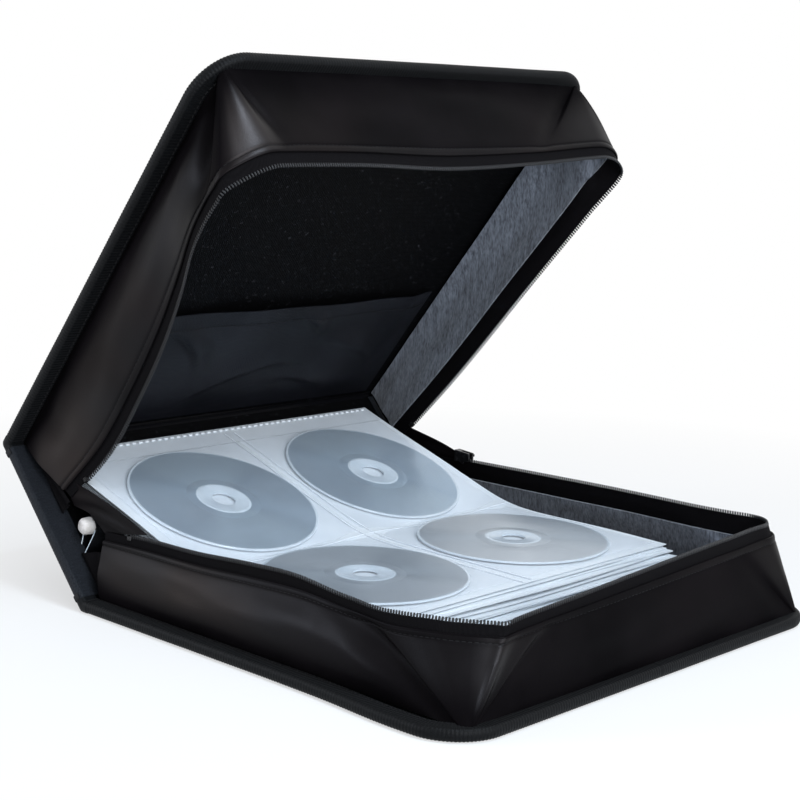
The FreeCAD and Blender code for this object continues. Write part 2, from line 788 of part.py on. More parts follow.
def top_leaf():
    """Backing sheet of the top leaf, its four pocket films and the discs in them."""
    front = (BEND_Y - LEAF_REACH - s.leaf_front, LEAF_LEVEL)
    bend = (BEND_Y, LEAF_BEND_Z)
    bind = (LEAF_BIND_Y, LEAF_BIND_Z)
    sheet_body = new_body("leaf_sheet")
    bent_sheet(sheet_body, "leaf_sheet", [front, bend, bind], s.leaf_thick)
    keep(sheet_body, "leaf_sheet")

    films = []
    rows = (("rear", bend, bind, 1), ("front", front, bend, -1))
    columns = (("near", -1), ("far", 1))
    for row, low, high, way in rows:
        slope = math.atan2((high[1] - low[1]).value, (high[0] - low[0]).value)
        reach = (s.leaf_bend_gap + FILM_LENGTH / 2) * way
        at_bend = move(ZERO, bend[0], bend[1] + s.leaf_thick / math.cos(slope))
        on_leaf = at_bend * turn(X_AXIS, math.degrees(slope)) * move(ZERO, reach, ZERO)
        for column, side in columns:
            place = move(SLEEVE_SHIFT + DISC_PITCH * side / 2, ZERO, ZERO) * on_leaf
            films.append(pocket_film(f"film_{row}_{column}", place))
            disc(f"disc_{len(films)}", place)
    group = doc.addObject("Part::Compound", "leaf_pockets_group")
    group.Links = films
    keep(group, "leaf_pockets")


def disc(label, place):
    """Disc with its hub hole."""
    body = new_body(label)
    radii = [s.disc_diameter / 2, s.disc_hole / 2]
    face = ring(body, f"{label}_face", "XY_Plane", s.disc_clear, (ZERO, ZERO), radii)
    pad(body, f"{label}_plate", face, s.disc_thick)
    keep(body, label, place)


def pocket_film(name, place):
    """Film over one disc, closed on three sides and open towards the bound edge."""
    inside_height = s.disc_thick + s.disc_clear * 2
    outer = doc.addObject("Part::Box", f"{name}_outer")
    outer.setExpression("Length", FILM_WIDTH.text)
    outer.setExpression("Width", FILM_LENGTH.text)
    outer.setExpression("Height", (inside_height + s.film_thick).text)
    outer.setExpression("Placement.Base.x", (-FILM_WIDTH / 2).text)
    outer.setExpression("Placement.Base.y", (-FILM_LENGTH / 2).text)
    inner = doc.addObject("Part::Box", f"{name}_inner")
    inner.setExpression("Length", (FILM_WIDTH - s.film_wall * 2).text)
    inner.setExpression("Width", FILM_LENGTH.text)
    inner.setExpression("Height", (inside_height + s.overrun).text)
    inner.setExpression("Placement.Base.x", (s.film_wall - FILM_WIDTH / 2).text)
    inner.setExpression("Placement.Base.y", (s.film_wall - FILM_LENGTH / 2).text)
    inner.setExpression("Placement.Base.z", (-s.overrun).text)
    film = doc.addObject("Part::Cut", name)
    film.Base = outer
    film.Tool = inner
    film.Placement = place
    return film


def zip_slider():
    """Slider on the far side of the base's zip, with its bridge pin, and the pull that hangs on the pin."""
    half_width = coil_line()[0]
    half_length = s.slider_length / 2
    gap = s.coil_radius + s.slider_clear
    half_thick = gap + s.slider_plate
    centre_y = ZIP_END_Y - half_length + s.slider_park
    place = move(half_width, centre_y, COIL_LEVEL)

    body = new_body("zip_slider")
    shield = [
        (-half_length, s.slider_taper - s.slider_drop),
        (half_length, -s.slider_drop),
        (half_length, s.slider_rise),
        (-half_length, s.slider_rise - s.slider_taper),
    ]
    face = polygon(body, "zip_slider_face", "YZ_Plane", -half_thick, shield)
    pad(body, "zip_slider_block", face, half_thick * 2)
    ear_end = half_thick + s.bridge_reach + s.bridge_radius
    ear_outside = s.bridge_length / 2
    for name, low in (("front", -ear_outside), ("rear", ear_outside - s.ear_length)):
        outline_name = f"zip_slider_{name}_ear_outline"
        corners = ((half_thick, low), (ear_end, low + s.ear_length))
        ear = rectangle(body, outline_name, "XY_Plane", -s.bridge_radius, *corners)
        pad(body, f"zip_slider_{name}_ear", ear, s.bridge_radius * 2)
    pin_x = half_thick + s.bridge_reach
    ear_inside = ear_outside - s.ear_length
    pin = ring(body, "zip_slider_pin_end", "XZ_Plane", ear_inside, (pin_x, ZERO), [s.bridge_radius])
    pad(body, "zip_slider_pin", pin, ear_inside * 2, backward=True)
    start = half_length + s.overrun
    low_corners = ((-gap, -s.slider_drop - s.overrun), (gap, gap))
    low_channel = rectangle(body, "zip_slider_low_channel_end", "XZ_Plane", start, *low_corners)
    pocket(body, "zip_slider_low_channel", low_channel, start * 2, backward=True)
    high_corners = ((-gap, -gap), (gap, s.slider_rise + s.overrun))
    high_channel = rectangle(body, "zip_slider_high_channel_end", "XZ_Plane", start, *high_corners)
    open_length = start * 2 - s.overrun - s.slider_post
    pocket(body, "zip_slider_high_channel", high_channel, open_length, backward=True)
    keep(body, "zip_slider", place)

    eye_radius = s.bridge_radius + s.pull_clear
    pull = new_body("zip_pull")
    outside = eye_radius + s.pull_wall
    eye = ring(pull, "zip_pull_eye_end", "XZ_Plane", s.pull_width / 2, (pin_x, ZERO), [outside])
    pad(pull, "zip_pull_eye", eye, s.pull_width, backward=True)
    blade_points = [
        (-s.pull_width / 2, -s.pull_length),
        (s.pull_width / 2, -s.pull_length),
        (s.pull_width / 2, ZERO),
        (-s.pull_width / 2, ZERO),
    ]
    blade = polygon(pull, "zip_pull_blade_outline", "YZ_Plane", pin_x - s.pull_thick / 2, blade_points)
    pad(pull, "zip_pull_blade", blade, s.pull_thick)
    hole_start = s.pull_width / 2 + s.overrun
    hole = ring(pull, "zip_pull_hole_end", "XZ_Plane", hole_start, (pin_x, ZERO), [eye_radius])
    pocket(pull, "zip_pull_hole", hole, hole_start * 2, backward=True)
    keep(pull, "zip_pull", place)


half_shell("base", BASE_PLACE)
spine()
fold("lower_fold", HINGE_Y, BASE_PLACE)
fold("upper_fold", s.spine_height, SPINE_PLACE)
binder_rod()
half_shell("lid", LID_PLACE)
lid_pocket()
gussets()
sleeve_bundles()
top_leaf()
zip_slider()
doc.recompute()

for item in doc.Objects:
    if "Invalid" in item.State or "Error" in item.State:
        raise RuntimeError(f"{item.Label} failed: {item.State}")
for node in nodes:
    if node.Shape.isNull() or not node.Shape.isValid() or not node.Shape.Solids:
        raise RuntimeError(f"{node.Label} has no valid solid")

os.makedirs(FOLDER, exist_ok=True)
for node in nodes:
    node.Shape.exportStep(os.path.join(FOLDER, f"{node.Label}.step"))
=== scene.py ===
"""Zip-round media binder, standing open as in the photograph.

Shapes are worked out in millimetres and turned into metres when a mesh is made. A cover half is built in
(x, along, depth): along runs from the hinge to the free edge, depth goes inwards from the cover's middle.
"""

import json
import math

import bmesh
import bpy
import numpy as np
from mathutils import Matrix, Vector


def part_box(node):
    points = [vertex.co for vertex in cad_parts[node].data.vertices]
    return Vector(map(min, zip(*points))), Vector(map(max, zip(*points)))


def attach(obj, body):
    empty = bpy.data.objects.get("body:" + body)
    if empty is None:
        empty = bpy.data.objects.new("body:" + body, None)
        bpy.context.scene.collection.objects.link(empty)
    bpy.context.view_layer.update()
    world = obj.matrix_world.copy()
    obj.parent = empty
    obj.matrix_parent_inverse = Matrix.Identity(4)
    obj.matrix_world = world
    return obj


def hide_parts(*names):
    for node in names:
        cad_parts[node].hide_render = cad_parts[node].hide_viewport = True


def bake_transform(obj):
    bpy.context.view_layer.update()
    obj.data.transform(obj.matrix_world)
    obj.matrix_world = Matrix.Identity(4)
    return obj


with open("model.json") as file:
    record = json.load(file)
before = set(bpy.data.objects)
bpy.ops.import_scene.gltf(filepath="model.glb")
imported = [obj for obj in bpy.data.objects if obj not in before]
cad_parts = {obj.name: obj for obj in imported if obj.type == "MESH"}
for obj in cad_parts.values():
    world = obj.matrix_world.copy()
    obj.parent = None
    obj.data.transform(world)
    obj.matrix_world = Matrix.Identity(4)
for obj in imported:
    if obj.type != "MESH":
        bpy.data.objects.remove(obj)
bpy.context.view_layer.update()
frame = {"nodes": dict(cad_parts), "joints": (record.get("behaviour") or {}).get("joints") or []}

MM = 0.001
SIDES = ((-1, "near"), (1, "far"))
# CAD nodes that are shown as they are; a dressed piece stands for every other node
KEPT_NODES = ("binder_rod", "zip_slider", "zip_pull", "base_board", "lid_board", "spine_board")


def node_box(node):
    """Lowest and highest corner of a CAD node in millimetres."""
    return [np.array(corner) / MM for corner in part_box(node)]


def joint_point(name):
    """Where a joint's axis lies, in millimetres."""
    joint = next(j for j in frame["joints"] if j["name"] == name)
    return np.array(joint["pos_m"]) / MM


# Directions of the three stiff panels, from the hinges
LOWER_HINGE, UPPER_HINGE = joint_point("spine_hinge"), joint_point("lid_hinge")
LID_RISE = math.radians(52.45)
X_AXIS = np.array([1.0, 0, 0])
SPINE_HEIGHT = float(np.linalg.norm(UPPER_HINGE - LOWER_HINGE))
SPINE_UP = (UPPER_HINGE - LOWER_HINGE) / SPINE_HEIGHT
SPINE_OUT = np.array([0, SPINE_UP[2], -SPINE_UP[1]])
BASE_ALONG, BASE_IN = np.array([0, -1.0, 0]), np.array([0, 0, 1.0])
LID_ALONG = np.array([0, -math.cos(LID_RISE), math.sin(LID_RISE)])
LID_IN = np.array([0, -math.sin(LID_RISE), -math.cos(LID_RISE)])

# Plan of a cover, from its edge tape
TAPE_LOW, TAPE_HIGH = node_box("base_binding")
HALF_WIDTH = TAPE_HIGH[0]
EDGE_HALF = (TAPE_HIGH[2] - TAPE_LOW[2]) / 2
COVER_LENGTH = LOWER_HINGE[1] - TAPE_LOW[1]
HINGE_GAP = LOWER_HINGE[1] - TAPE_HIGH[1]
COVER_CORNER = 30
TAPE_WIDTH = 10.4
TAPE_THICK = 0.56
SKIN_THICK = 0.8
SKIN_SIDE = HALF_WIDTH - SKIN_THICK
FLOOR_DEPTH = node_box("base_lining")[1][2] - EDGE_HALF

# Soft wall: foot on the cover and rim at the zip
FOOT_SIDE = HALF_WIDTH - 11
FOOT_FRONT = COVER_LENGTH - 7
FOOT_CORNER = 6
FOOT_DEPTH = 2.4
RIM_SIDE = HALF_WIDTH - 16
RIM_FRONT = COVER_LENGTH - 10
RIM_CORNER = 34
RIM_DEPTH = node_box("base_zip_coil")[1][2] - EDGE_HALF
ZIP_END = HINGE_GAP + 20

# Layers of the wall, and shares of its height
LEATHER_THICK = 1.2
TAPE_LAYER = 0.8
FELT_LAYER = 1.3
HEM_SHARE = 0.86
STITCH_SHARE = 0.80
FELT_SHARE = 0.755
TAPE_SHARES = (0.66, 0.985)

# Thickness of the other sheets
LINING_THICK = 0.5
VINYL_THICK = 0.5
GUTTER_THICK = 0.4
POCKET_THICK = 0.4
POCKET_HEM_THICK = 0.25
FOLD_THICK = 1.0
TAB_THICK = 0.5
WEB_THICK = 0.6
FAN_THICK = 0.4

# Small repeated things: pitch, or half length, half width and half thickness
TOOTH_PITCH = 1.75
TOOTH = (1.25, 0.62, 0.65)
ZIP_STOP = (1.7, 1.9, 1.6)
STITCH_PITCH = 3.2
HEM_STITCH = (1.1, 0.3, 0.35)
TAPE_STITCH = (1.1, 0.32, 0.28)
POCKET_STITCH = (1.1, 0.3, 0.3)
BAR_TACK = (1.9, 0.32, 0.3)

# Painted sheen of the flat panels and the hems: how far their reflection is raised, or lowered as painted
# shade
SKIN_PAINTED_SHEEN = 0.0
HEM_PAINTED_SHEEN = {"base": -0.35, "lid": 0.1}


def placer(origin, second, third):
    """Function that takes points (x, second, third) of a panel to the row frame."""
    axes = np.stack([X_AXIS, second, third])

    def place(points):
        return origin + np.asarray(points, float) @ axes

    return place


place_base = placer(LOWER_HINGE, BASE_ALONG, BASE_IN)
place_lid = placer(UPPER_HINGE, LID_ALONG, LID_IN)
place_spine = placer(LOWER_HINGE, SPINE_UP, SPINE_OUT)


def smooth(value, low=0.0, high=1.0):
    """Smooth step from 0 at low to 1 at high."""
    t = np.clip((np.asarray(value, float) - low) / (high - low), 0, 1)
    return t * t * (3 - 2 * t)


def hump(value, middle, width):
    """Soft bump of height 1."""
    return np.exp(-(((value - middle) / width) ** 2))


def ripple(run, waves):
    """Sum of waves along a run, each a height, a length and a phase."""
    return sum(height * np.sin(run / length + phase) for height, length, phase in waves)


def unit(v):
    """Vectors of length 1."""
    return v / np.maximum(np.linalg.norm(v, axis=-1, keepdims=True), 1e-9)


def through(table, at):
    """Smooth curve through the rows of a table, each a key and its values."""
    table, at = np.asarray(table, float), np.asarray(at, float)
    keys, values = table[:, 0], table[:, 1:]
    slope = np.gradient(values, keys, axis=0)
    i = np.clip(np.searchsorted(keys, at, side="right") - 1, 0, len(keys) - 2)
    step = (keys[i + 1] - keys[i])[..., None]
    t = (at - keys[i])[..., None] / step
    return (
        values[i] * (1 + 2 * t) * (1 - t) ** 2
        + values[i + 1] * t * t * (3 - 2 * t)
        + slope[i] * step * t * (1 - t) ** 2
        - slope[i + 1] * step * t * t * (1 - t)
    )


def lengths(line):
    """Distance along a line at each of its points."""
    return np.concatenate([[0], np.cumsum(np.linalg.norm(np.diff(line, axis=0), axis=-1))])


def even(line, pitch):
    """Positions (as fractional indexes) at equal steps along a line."""
    run = lengths(line)
    count = max(2, int(run[-1] / pitch))
    return np.interp((np.arange(count) + 0.5) * run[-1] / count, run, np.arange(len(line)))


def pick(values, at):
    """Values of an array at fractional indexes."""
    low = np.clip(np.floor(at).astype(int), 0, len(values) - 2)
    share = (at - low).reshape(-1, *([1] * (values.ndim - 1)))
    return values[low] * (1 - share) + values[low + 1] * share


# Meshes


def shown_name(name):
    """Name of a piece of the scene; one that stands for a CAD node doesn't take the node's own name."""
    stands_in = name in frame["nodes"] and name not in KEPT_NODES
    return f"{name}_dressed" if stands_in else name


def quads(rows, columns, rings=(False, False)):
    """Quads of a grid of points, closed into rings along its rows or columns."""
    index = np.arange(rows * columns).reshape(rows, columns)
    for axis, ring in enumerate(rings):
        if ring:
            index = np.concatenate([index, index.take([0], axis)], axis)
    corners = (index[:-1, :-1], index[:-1, 1:], index[1:, 1:], index[1:, :-1])
    return np.stack(corners, -1).reshape(-1, 4)


def add_object(name, data):
    """Object in the scene for a mesh, lamp or camera."""
    obj = bpy.data.objects.new(name, data)
    bpy.context.scene.collection.objects.link(obj)
    return obj


def mesh_object(name, points, faces, finish, sharp=40):
    """Mesh in metres from points in millimetres; its finish is a material and a slot name, and the slot is
    not used.
    """
    material, slot = finish
    shown = shown_name(name)
    mesh = bpy.data.meshes.new(shown)
    mesh.from_pydata((np.asarray(points).reshape(-1, 3) * MM).tolist(), [], [list(face) for face in faces])
    work = bmesh.new()
    work.from_mesh(mesh)
    bmesh.ops.recalc_face_normals(work, faces=work.faces)
    work.to_mesh(mesh)
    work.free()
    mesh.shade_smooth()
    mesh.set_sharp_from_angle(angle=math.radians(sharp))
    mesh.materials.append(material)
    obj = add_object(shown, mesh)
    if shown != name:
        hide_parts(name)
    return obj


def axes_matrix(right, up, back, place):
    """Matrix of an object from its axes and its place in millimetres."""
    matrix = Matrix.Identity(4)
    for row in range(3):
        matrix[row] = (right[row], up[row], back[row], place[row] * MM)
    return matrix


def normals(grid):
    """Unit normals of a grid of points."""
    return unit(np.cross(np.gradient(grid, axis=0), np.gradient(grid, axis=1)))


def shell(name, grid, thick, finish):
    """Closed sheet: the grid of points is one face, and thick lies along its normals."""
    rows, columns = grid.shape[:2]
    count = rows * columns
    front = quads(rows, columns)
    index = np.arange(count).reshape(rows, columns)
    rim = np.concatenate([index[0, :-1], index[:-1, -1], index[-1, :0:-1], index[:0:-1, 0]])
    following = np.roll(rim, -1)
    edge = np.stack([rim, following, following + count, rim + count], -1)
    points = np.stack([grid, grid + normals(grid) * thick])
    return mesh_object(name, points, np.concatenate([front, front[:, ::-1] + count, edge]), finish)


def flat_size(grid):
    """Width, length and area in metres of the cut that a grid of points was bent from."""
    across = np.linalg.norm(np.diff(grid, axis=1), axis=-1).sum(1).max()
    down = np.linalg.norm(np.diff(grid, axis=0), axis=-1).sum(0).max()
    one = np.cross(grid[1:, 1:] - grid[:-1, :-1], grid[1:, :-1] - grid[:-1, 1:])
    area = np.linalg.norm(one, axis=-1).sum() / 2
    if area < 0.4 * across * down:
        loose = (grid - grid.mean((0, 1))).reshape(-1, 3)
        across, down = np.ptp(loose @ np.linalg.svd(loose, full_matrices=False)[2].T, axis=0)[:2]
    return (float(across * MM), float(max(down, area / across) * MM)), float(area * MM * MM)


def cloth(name, grid, thick, finish, body, toward=None):
    """Sheet of soft material; the size it was cut to is worked out but not used.

    Body is the name of a body that the sheet is attached to; given as two names and two points instead, the
    sheet is left unattached.
    Toward gives the directions in which the thickness lies; without it, it lies along the grid's normals.
    """
    if toward is not None:
        thick = thick * np.sign((normals(grid) * toward).sum(-1).mean())
    obj = shell(name, grid, thick, finish)
    if isinstance(body, str):
        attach(obj, body)
    else:
        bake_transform(obj)
    flat, area = flat_size(grid)
    return obj


def paint_sheen(obj, values):
    """Store the painted sheen of each point of a piece of leatherette, which raises or lowers its
    reflection.
    """
    layer = obj.data.attributes.new("painted_sheen", "FLOAT", "POINT")
    layer.data.foreach_set("value", np.broadcast_to(values, len(obj.data.vertices)).astype(float))


def tube_faces(count, sides):
    """Faces of rings of points joined into a skin with flat ends."""
    around = np.arange(sides)
    ends = [around[::-1].tolist(), ((count - 1) * sides + around).tolist()]
    return quads(count, sides, (False, True)).tolist() + ends


def tube(name, rings, finish, sharp=40):
    """Closed rings of points joined into a skin, with flat ends."""
    return mesh_object(name, rings, tube_faces(*rings.shape[:2]), finish, sharp)


def ellipses(line, first, second, wide, thick, sides=7):
    """Rings round the points of a line, spanned by two unit vectors at each point."""
    turn = 2 * math.pi * np.arange(sides)[None, :, None] / sides
    return line[:, None] + first[:, None] * np.cos(turn) * wide + second[:, None] * np.sin(turn) * thick


def pill(long, wide, thick, sides=6):
    """Points and faces of a small rounded bar along its first axis."""
    turn = 2 * math.pi * np.arange(sides) / sides
    rings = []
    for station, share in ((-1, 0.45), (-0.72, 1), (0.72, 1), (1, 0.45)):
        across, up = np.cos(turn) * wide * share, np.sin(turn) * thick * share
        rings.append(np.stack([np.full(sides, station * long), across, up], -1))
    return np.concatenate(rings), tube_faces(len(rings), sides)


def repeat(name, template, places, axes, finish):
    """One mesh with a copy of the template at each place, along axes of shape (count, 3, 3)."""
    points, faces = template
    count = len(points)
    moved = np.asarray(places)[:, None, :] + np.einsum("kj,njc->nkc", points, np.asarray(axes))
    all_faces = [[k + i * count for k in face] for i in range(len(places)) for face in faces]
    return mesh_object(name, moved, all_faces, finish, sharp=60)


# Materials


class Nodes:
    """Short helpers for a tree of shader nodes."""

    def __init__(self, tree):
        self.tree = tree

    def put(self, node, inputs):
        """Give inputs of a node plain values or links."""
        for key, value in inputs.items():
            if isinstance(value, bpy.types.NodeSocket):
                self.tree.links.new(value, node.inputs[key])
            else:
                node.inputs[key].default_value = value

    def node(self, kind, inputs=None, **settings):
        node = self.tree.nodes.new(f"ShaderNode{kind}")
        for key, value in settings.items():
            setattr(node, key, value)
        self.put(node, inputs or {})
        return node

    def math(self, operation, first, second):
        return self.node("Math", {0: first, 1: second}, operation=operation).outputs[0]

    def mix(self, share, first, second):
        return self.node("MixShader", {0: share, 1: first, 2: second}).outputs[0]


class Finish(Nodes):
    """Procedural material."""

    def __init__(self, name, colour, rough, metal=0.0, specular=0.5):
        self.material = bpy.data.materials.new(name)
        self.material.use_nodes = True
        super().__init__(self.material.node_tree)
        self.bsdf = self.tree.nodes["Principled BSDF"]
        self.set(Base_Color=(*colour, 1), Roughness=rough, Metallic=metal, Specular_IOR_Level=specular)
        self.coordinates = self.node("TexCoord").outputs["Object"]

    def set(self, **values):
        self.put(self.bsdf, {key.replace("_", " "): value for key, value in values.items()})
        return self

    def noise(self, scale, detail=3.0, stretch=None):
        vector = self.coordinates
        if stretch:
            vector = self.node("Mapping", {"Vector": vector, "Scale": stretch}).outputs[0]
        return self.node("TexNoise", {"Vector": vector, "Scale": scale, "Detail": detail}).outputs["Fac"]

    def cells(self, scale):
        inputs = {"Vector": self.coordinates, "Scale": scale}
        return self.node("TexVoronoi", inputs, feature="SMOOTH_F1").outputs["Distance"]

    def bands(self, scale, direction):
        inputs = {"Vector": self.coordinates, "Scale": scale}
        return self.node("TexWave", inputs, bands_direction=direction).outputs["Fac"]

    def sum(self, first, second, weight):
        """First and a share of the second."""
        return self.math("ADD", first, self.math("MULTIPLY", second, weight))

    def ramp(self, value, low, high, start=0.0, end=1.0):
        """Colour between low and high."""
        node = self.node("ValToRGB", {"Fac": value})
        first, last = node.color_ramp.elements
        first.position, last.position = start, end
        first.color, last.color = (*low, 1), (*high, 1)
        return node.outputs["Color"]

    def between(self, value, low, high):
        """Number between low and high."""
        return self.node("MapRange", {"Value": value, "To Min": low, "To Max": high}).outputs["Result"]

    def relief(self, height, depth, strength=1.0):
        """Bump of a depth in millimetres."""
        inputs = {"Height": height, "Distance": depth * MM, "Strength": strength}
        return self.set(Normal=self.node("Bump", inputs).outputs["Normal"])


def speckled(name, plain, rough, grain, low, high, span, **look):
    """Finish whose colour goes from low to high over a span of the noise of a grain (scale, detail)."""
    f = Finish(name, plain, rough, **look)
    return f.set(Base_Color=f.ramp(f.noise(*grain), low, high, *span))


def leatherette(name, smoothest, roughest):
    """Black coated cloth with a fine pebble grain; a point attribute paints sheen on it by raising its
    reflection, and paints shade by lowering it.
    """
    f = Finish(name, (0.004, 0.0035, 0.004), 0.4, specular=0.08)
    patch = f.noise(14, 4)
    f.set(Base_Color=f.ramp(patch, (0.0022, 0.0019, 0.0022), (0.0055, 0.0045, 0.0052), 0.35, 0.75))
    f.set(Specular_Tint=f.ramp(f.noise(7, 2), (0.93, 0.93, 1.0), (1.0, 0.80, 0.70), 0.44, 0.6))
    painted_sheen = f.node("Attribute", attribute_name="painted_sheen").outputs["Fac"]
    # Painted sheen and shade: the reflection's strength follows the point attribute
    f.set(Specular_IOR_Level=f.math("ADD", f.math("MULTIPLY", painted_sheen, 0.11), 0.06))
    f.set(Roughness=f.between(f.sum(f.noise(55, 5), patch, 0.5), smoothest, roughest))
    return f.relief(f.sum(f.cells(1100), f.noise(420, 4), 0.7), 0.07, 0.4).material


def felt():
    """Heather-grey brushed cloth."""
    f = Finish("felt", (0.05, 0.055, 0.07), 0.95, specular=0.15)
    fibre = f.noise(1000, 4, (1, 1, 0.25))
    slub = f.noise(330, 3, (1, 1, 0.16))
    mixed = f.sum(f.math("MULTIPLY", fibre, 0.6), slub, 0.4)
    f.set(Base_Color=f.ramp(mixed, (0.04, 0.043, 0.053), (0.178, 0.193, 0.228), 0.34, 0.66))
    f.set(Sheen_Weight=0.4, Sheen_Roughness=0.5)
    return f.relief(fibre, 0.5, 0.8).material


def edge_tape(name, low, high):
    """Grosgrain tape; its ribs are in the mesh, and the threads are in the material."""
    f = speckled(name, high, 0.5, (1500, 2), low, high, (0.3, 0.7), specular=0.08)
    f.set(Sheen_Weight=0.02)
    return f.relief(f.noise(1500, 2), 0.2, 0.6).material


def zip_tape():
    """Woven black tape."""
    f = Finish("zip_tape", (0.004, 0.004, 0.005), 0.8, specular=0.04)
    weave = f.math("MULTIPLY", f.bands(700, "DIAGONAL"), f.bands(640, "Z"))
    f.set(Base_Color=f.ramp(weave, (0.0022, 0.002, 0.0024), (0.008, 0.007, 0.008)))
    return f.relief(weave, 0.25, 0.7).material


def woven(f, threads, swell, weight):
    """Height of a plain weave on slack cloth."""
    weave = f.math("MULTIPLY", f.bands(threads, "X"), f.bands(threads, "DIAGONAL"))
    return f.sum(weave, f.noise(swell, 4), weight)


def lining():
    """Matt black nylon with a fine plain weave and small pale bobbles."""
    plain, dark, pale = (0.002, 0.002, 0.0022), (0.0014, 0.0014, 0.0017), (0.03, 0.03, 0.033)
    f = speckled("lining", plain, 0.55, (420, 2), dark, pale, (0.64, 0.8), specular=0.04)
    return f.relief(woven(f, 420, 60, 2.0), 0.35, 0.6).material


def pocket_nylon():
    """Thin bluish black nylon, a little shiny."""
    plain, dark, pale = (0.008, 0.010, 0.014), (0.0036, 0.0038, 0.0054), (0.0098, 0.0102, 0.0136)
    f = speckled("pocket_nylon", plain, 0.42, (18, 4), dark, pale, (0.3, 0.75), specular=0.13)
    return f.relief(woven(f, 520, 28, 3.0), 0.4, 0.5).material


def patchy(name, colour, rough, grain, span, specular):
    """Finish whose roughness wanders over a span with the noise of a grain (scale, detail)."""
    f = Finish(name, colour, rough, specular=specular)
    return f.set(Roughness=f.between(f.noise(*grain), *span))


def vinyl():
    """Glossy black vinyl with soft ripples."""
    f = patchy("vinyl", (0.004, 0.004, 0.005), 0.16, (40, 4), (0.1, 0.28), 0.35)
    return f.relief(f.noise(45, 3), 0.6, 0.35).material


def sleeve():
    """Bluish white sleeve cloth with a soft haze."""
    plain, hazy, white = (0.72, 0.77, 0.83), (0.62, 0.665, 0.715), (0.735, 0.775, 0.81)
    f = speckled("sleeve", plain, 0.5, (22, 5), hazy, white, (0.3, 0.75), specular=0.4)
    f.set(Sheen_Weight=0.2)
    return f.relief(f.noise(700, 3), 0.12, 0.5).material


def film():
    """Clear pocket film: mostly open, with a milky gloss."""
    f = patchy("film", (0.8, 0.85, 0.92), 0.22, (30, 3), (0.16, 0.34), 0.6)
    f.relief(f.noise(26, 3), 0.5, 0.3)
    return f.set(Alpha=f.between(f.noise(20, 4), 0.06, 0.15)).material


def disc_silver(name, dull, bright):
    """Silver of a disc, brushed round its centre, with two bright fans painted into its colour as a painted
    reflection.
    """
    f = Finish(name, bright, 0.34, metal=0.6)
    ring = f.node("Tangent", direction_type="RADIAL", axis="Z").outputs["Tangent"]
    f.set(Anisotropic=0.75, Tangent=ring, Roughness=f.between(f.noise(30, 4), 0.28, 0.4))
    angle = f.node("TexGradient", {"Vector": f.coordinates}, gradient_type="RADIAL").outputs["Fac"]
    painted_fans = f.node("ValToRGB", {"Fac": angle})
    first, last = painted_fans.color_ramp.elements
    first.color = last.color = (*dull, 1)
    soft = 0.03
    # Painted reflection: two bright sectors round the centre
    for start, end in ((0.11, 0.33), (0.6, 0.84)):
        steps = ((start - soft, dull), (start + soft, bright), (end - soft, bright), (end + soft, dull))
        for position, colour in steps:
            painted_fans.color_ramp.elements.new(position).color = (*colour, 1)
    return f.set(Base_Color=painted_fans.outputs["Color"]).material


def rod_plastic():
    """Off-white plastic, cut end a little rough."""
    plain, dark, pale = (0.62, 0.58, 0.55), (0.5, 0.46, 0.43), (0.7, 0.66, 0.63)
    f = speckled("rod_plastic", plain, 0.5, (260, 4), dark, pale, (0.3, 0.7))
    return f.relief(f.noise(420, 3), 0.2, 0.6).material


def disc_hub():
    """Clear plastic of a disc's hub and rim over a white sheet."""
    plain, dark, pale = (0.72, 0.77, 0.82), (0.50, 0.57, 0.63), (0.62, 0.68, 0.73)
    return speckled("disc_hub", plain, 0.18, (60, 3), dark, pale, (0.3, 0.7), specular=0.6).material


def zip_metal():
    """Black lacquered metal, rubbed bright in small patches."""
    plain, dark, bright = (0.03, 0.03, 0.032), (0.012, 0.012, 0.013), (0.07, 0.07, 0.073)
    return speckled("zip_metal", plain, 0.3, (500, 4), dark, bright, (0.5, 0.85), metal=0.7).material


def zip_coil():
    """Hard black nylon with bright glints."""
    return patchy("zip_coil", (0.013, 0.013, 0.0145), 0.3, (400, 3), (0.22, 0.4), 0.22).material


def weld():
    """Sleeve plastic pressed white by the welding iron."""
    return patchy("weld", (0.80, 0.84, 0.89), 0.35, (300, 3), (0.25, 0.5), 0.45).material


def thread():
    """Black sewing thread."""
    f = Finish("thread", (0.007, 0.007, 0.008), 0.55, specular=0.15)
    return f.relief(f.noise(2500, 2), 0.1, 0.6).material


LEATHER = (leatherette("leatherette", 0.2, 0.46), "leatherette")
COVER_LEATHER = (leatherette("cover_leatherette", 0.5, 0.62), "leatherette")
FELT = (felt(), "felt")
ZIP_TAPE = (zip_tape(), "zip_tape")
ZIP_COIL = (zip_coil(), "zip_coil")
EDGE_TAPE = (edge_tape("edge_tape", (0.001, 0.0011, 0.0014), (0.0038, 0.0042, 0.005)), "edge_tape")
# Lighter copy of the edge tape for the spine's ends, as painted light from the left
SPINE_TAPE_PAINTED_LIGHT = (edge_tape("spine_tape_painted_light", (0.0048, 0.0055, 0.0072), (0.0155, 0.0175, 0.022)), "edge_tape")
LINING = (lining(), "lining")
POCKET = (pocket_nylon(), "pocket_nylon")
VINYL = (vinyl(), "vinyl")
SLEEVE = (sleeve(), "sleeve")
WELD = (weld(), "sleeve")
FILM = (film(), "film")
# The rear copy of the disc silver is tinted bluer as painted shade under the lid
REAR_SILVER_PAINTED_SHADE = (disc_silver("rear_silver_painted_shade", (0.25, 0.34, 0.425), (0.36, 0.465, 0.55)), "disc")
FRONT_SILVER = (disc_silver("front_silver", (0.30, 0.345, 0.385), (0.43, 0.47, 0.505)), "disc")
ROD = (rod_plastic(), "rod_plastic")
METAL = (zip_metal(), "zip_metal")
# Used with more than one slot
CLEAR, THREAD = disc_hub(), thread()


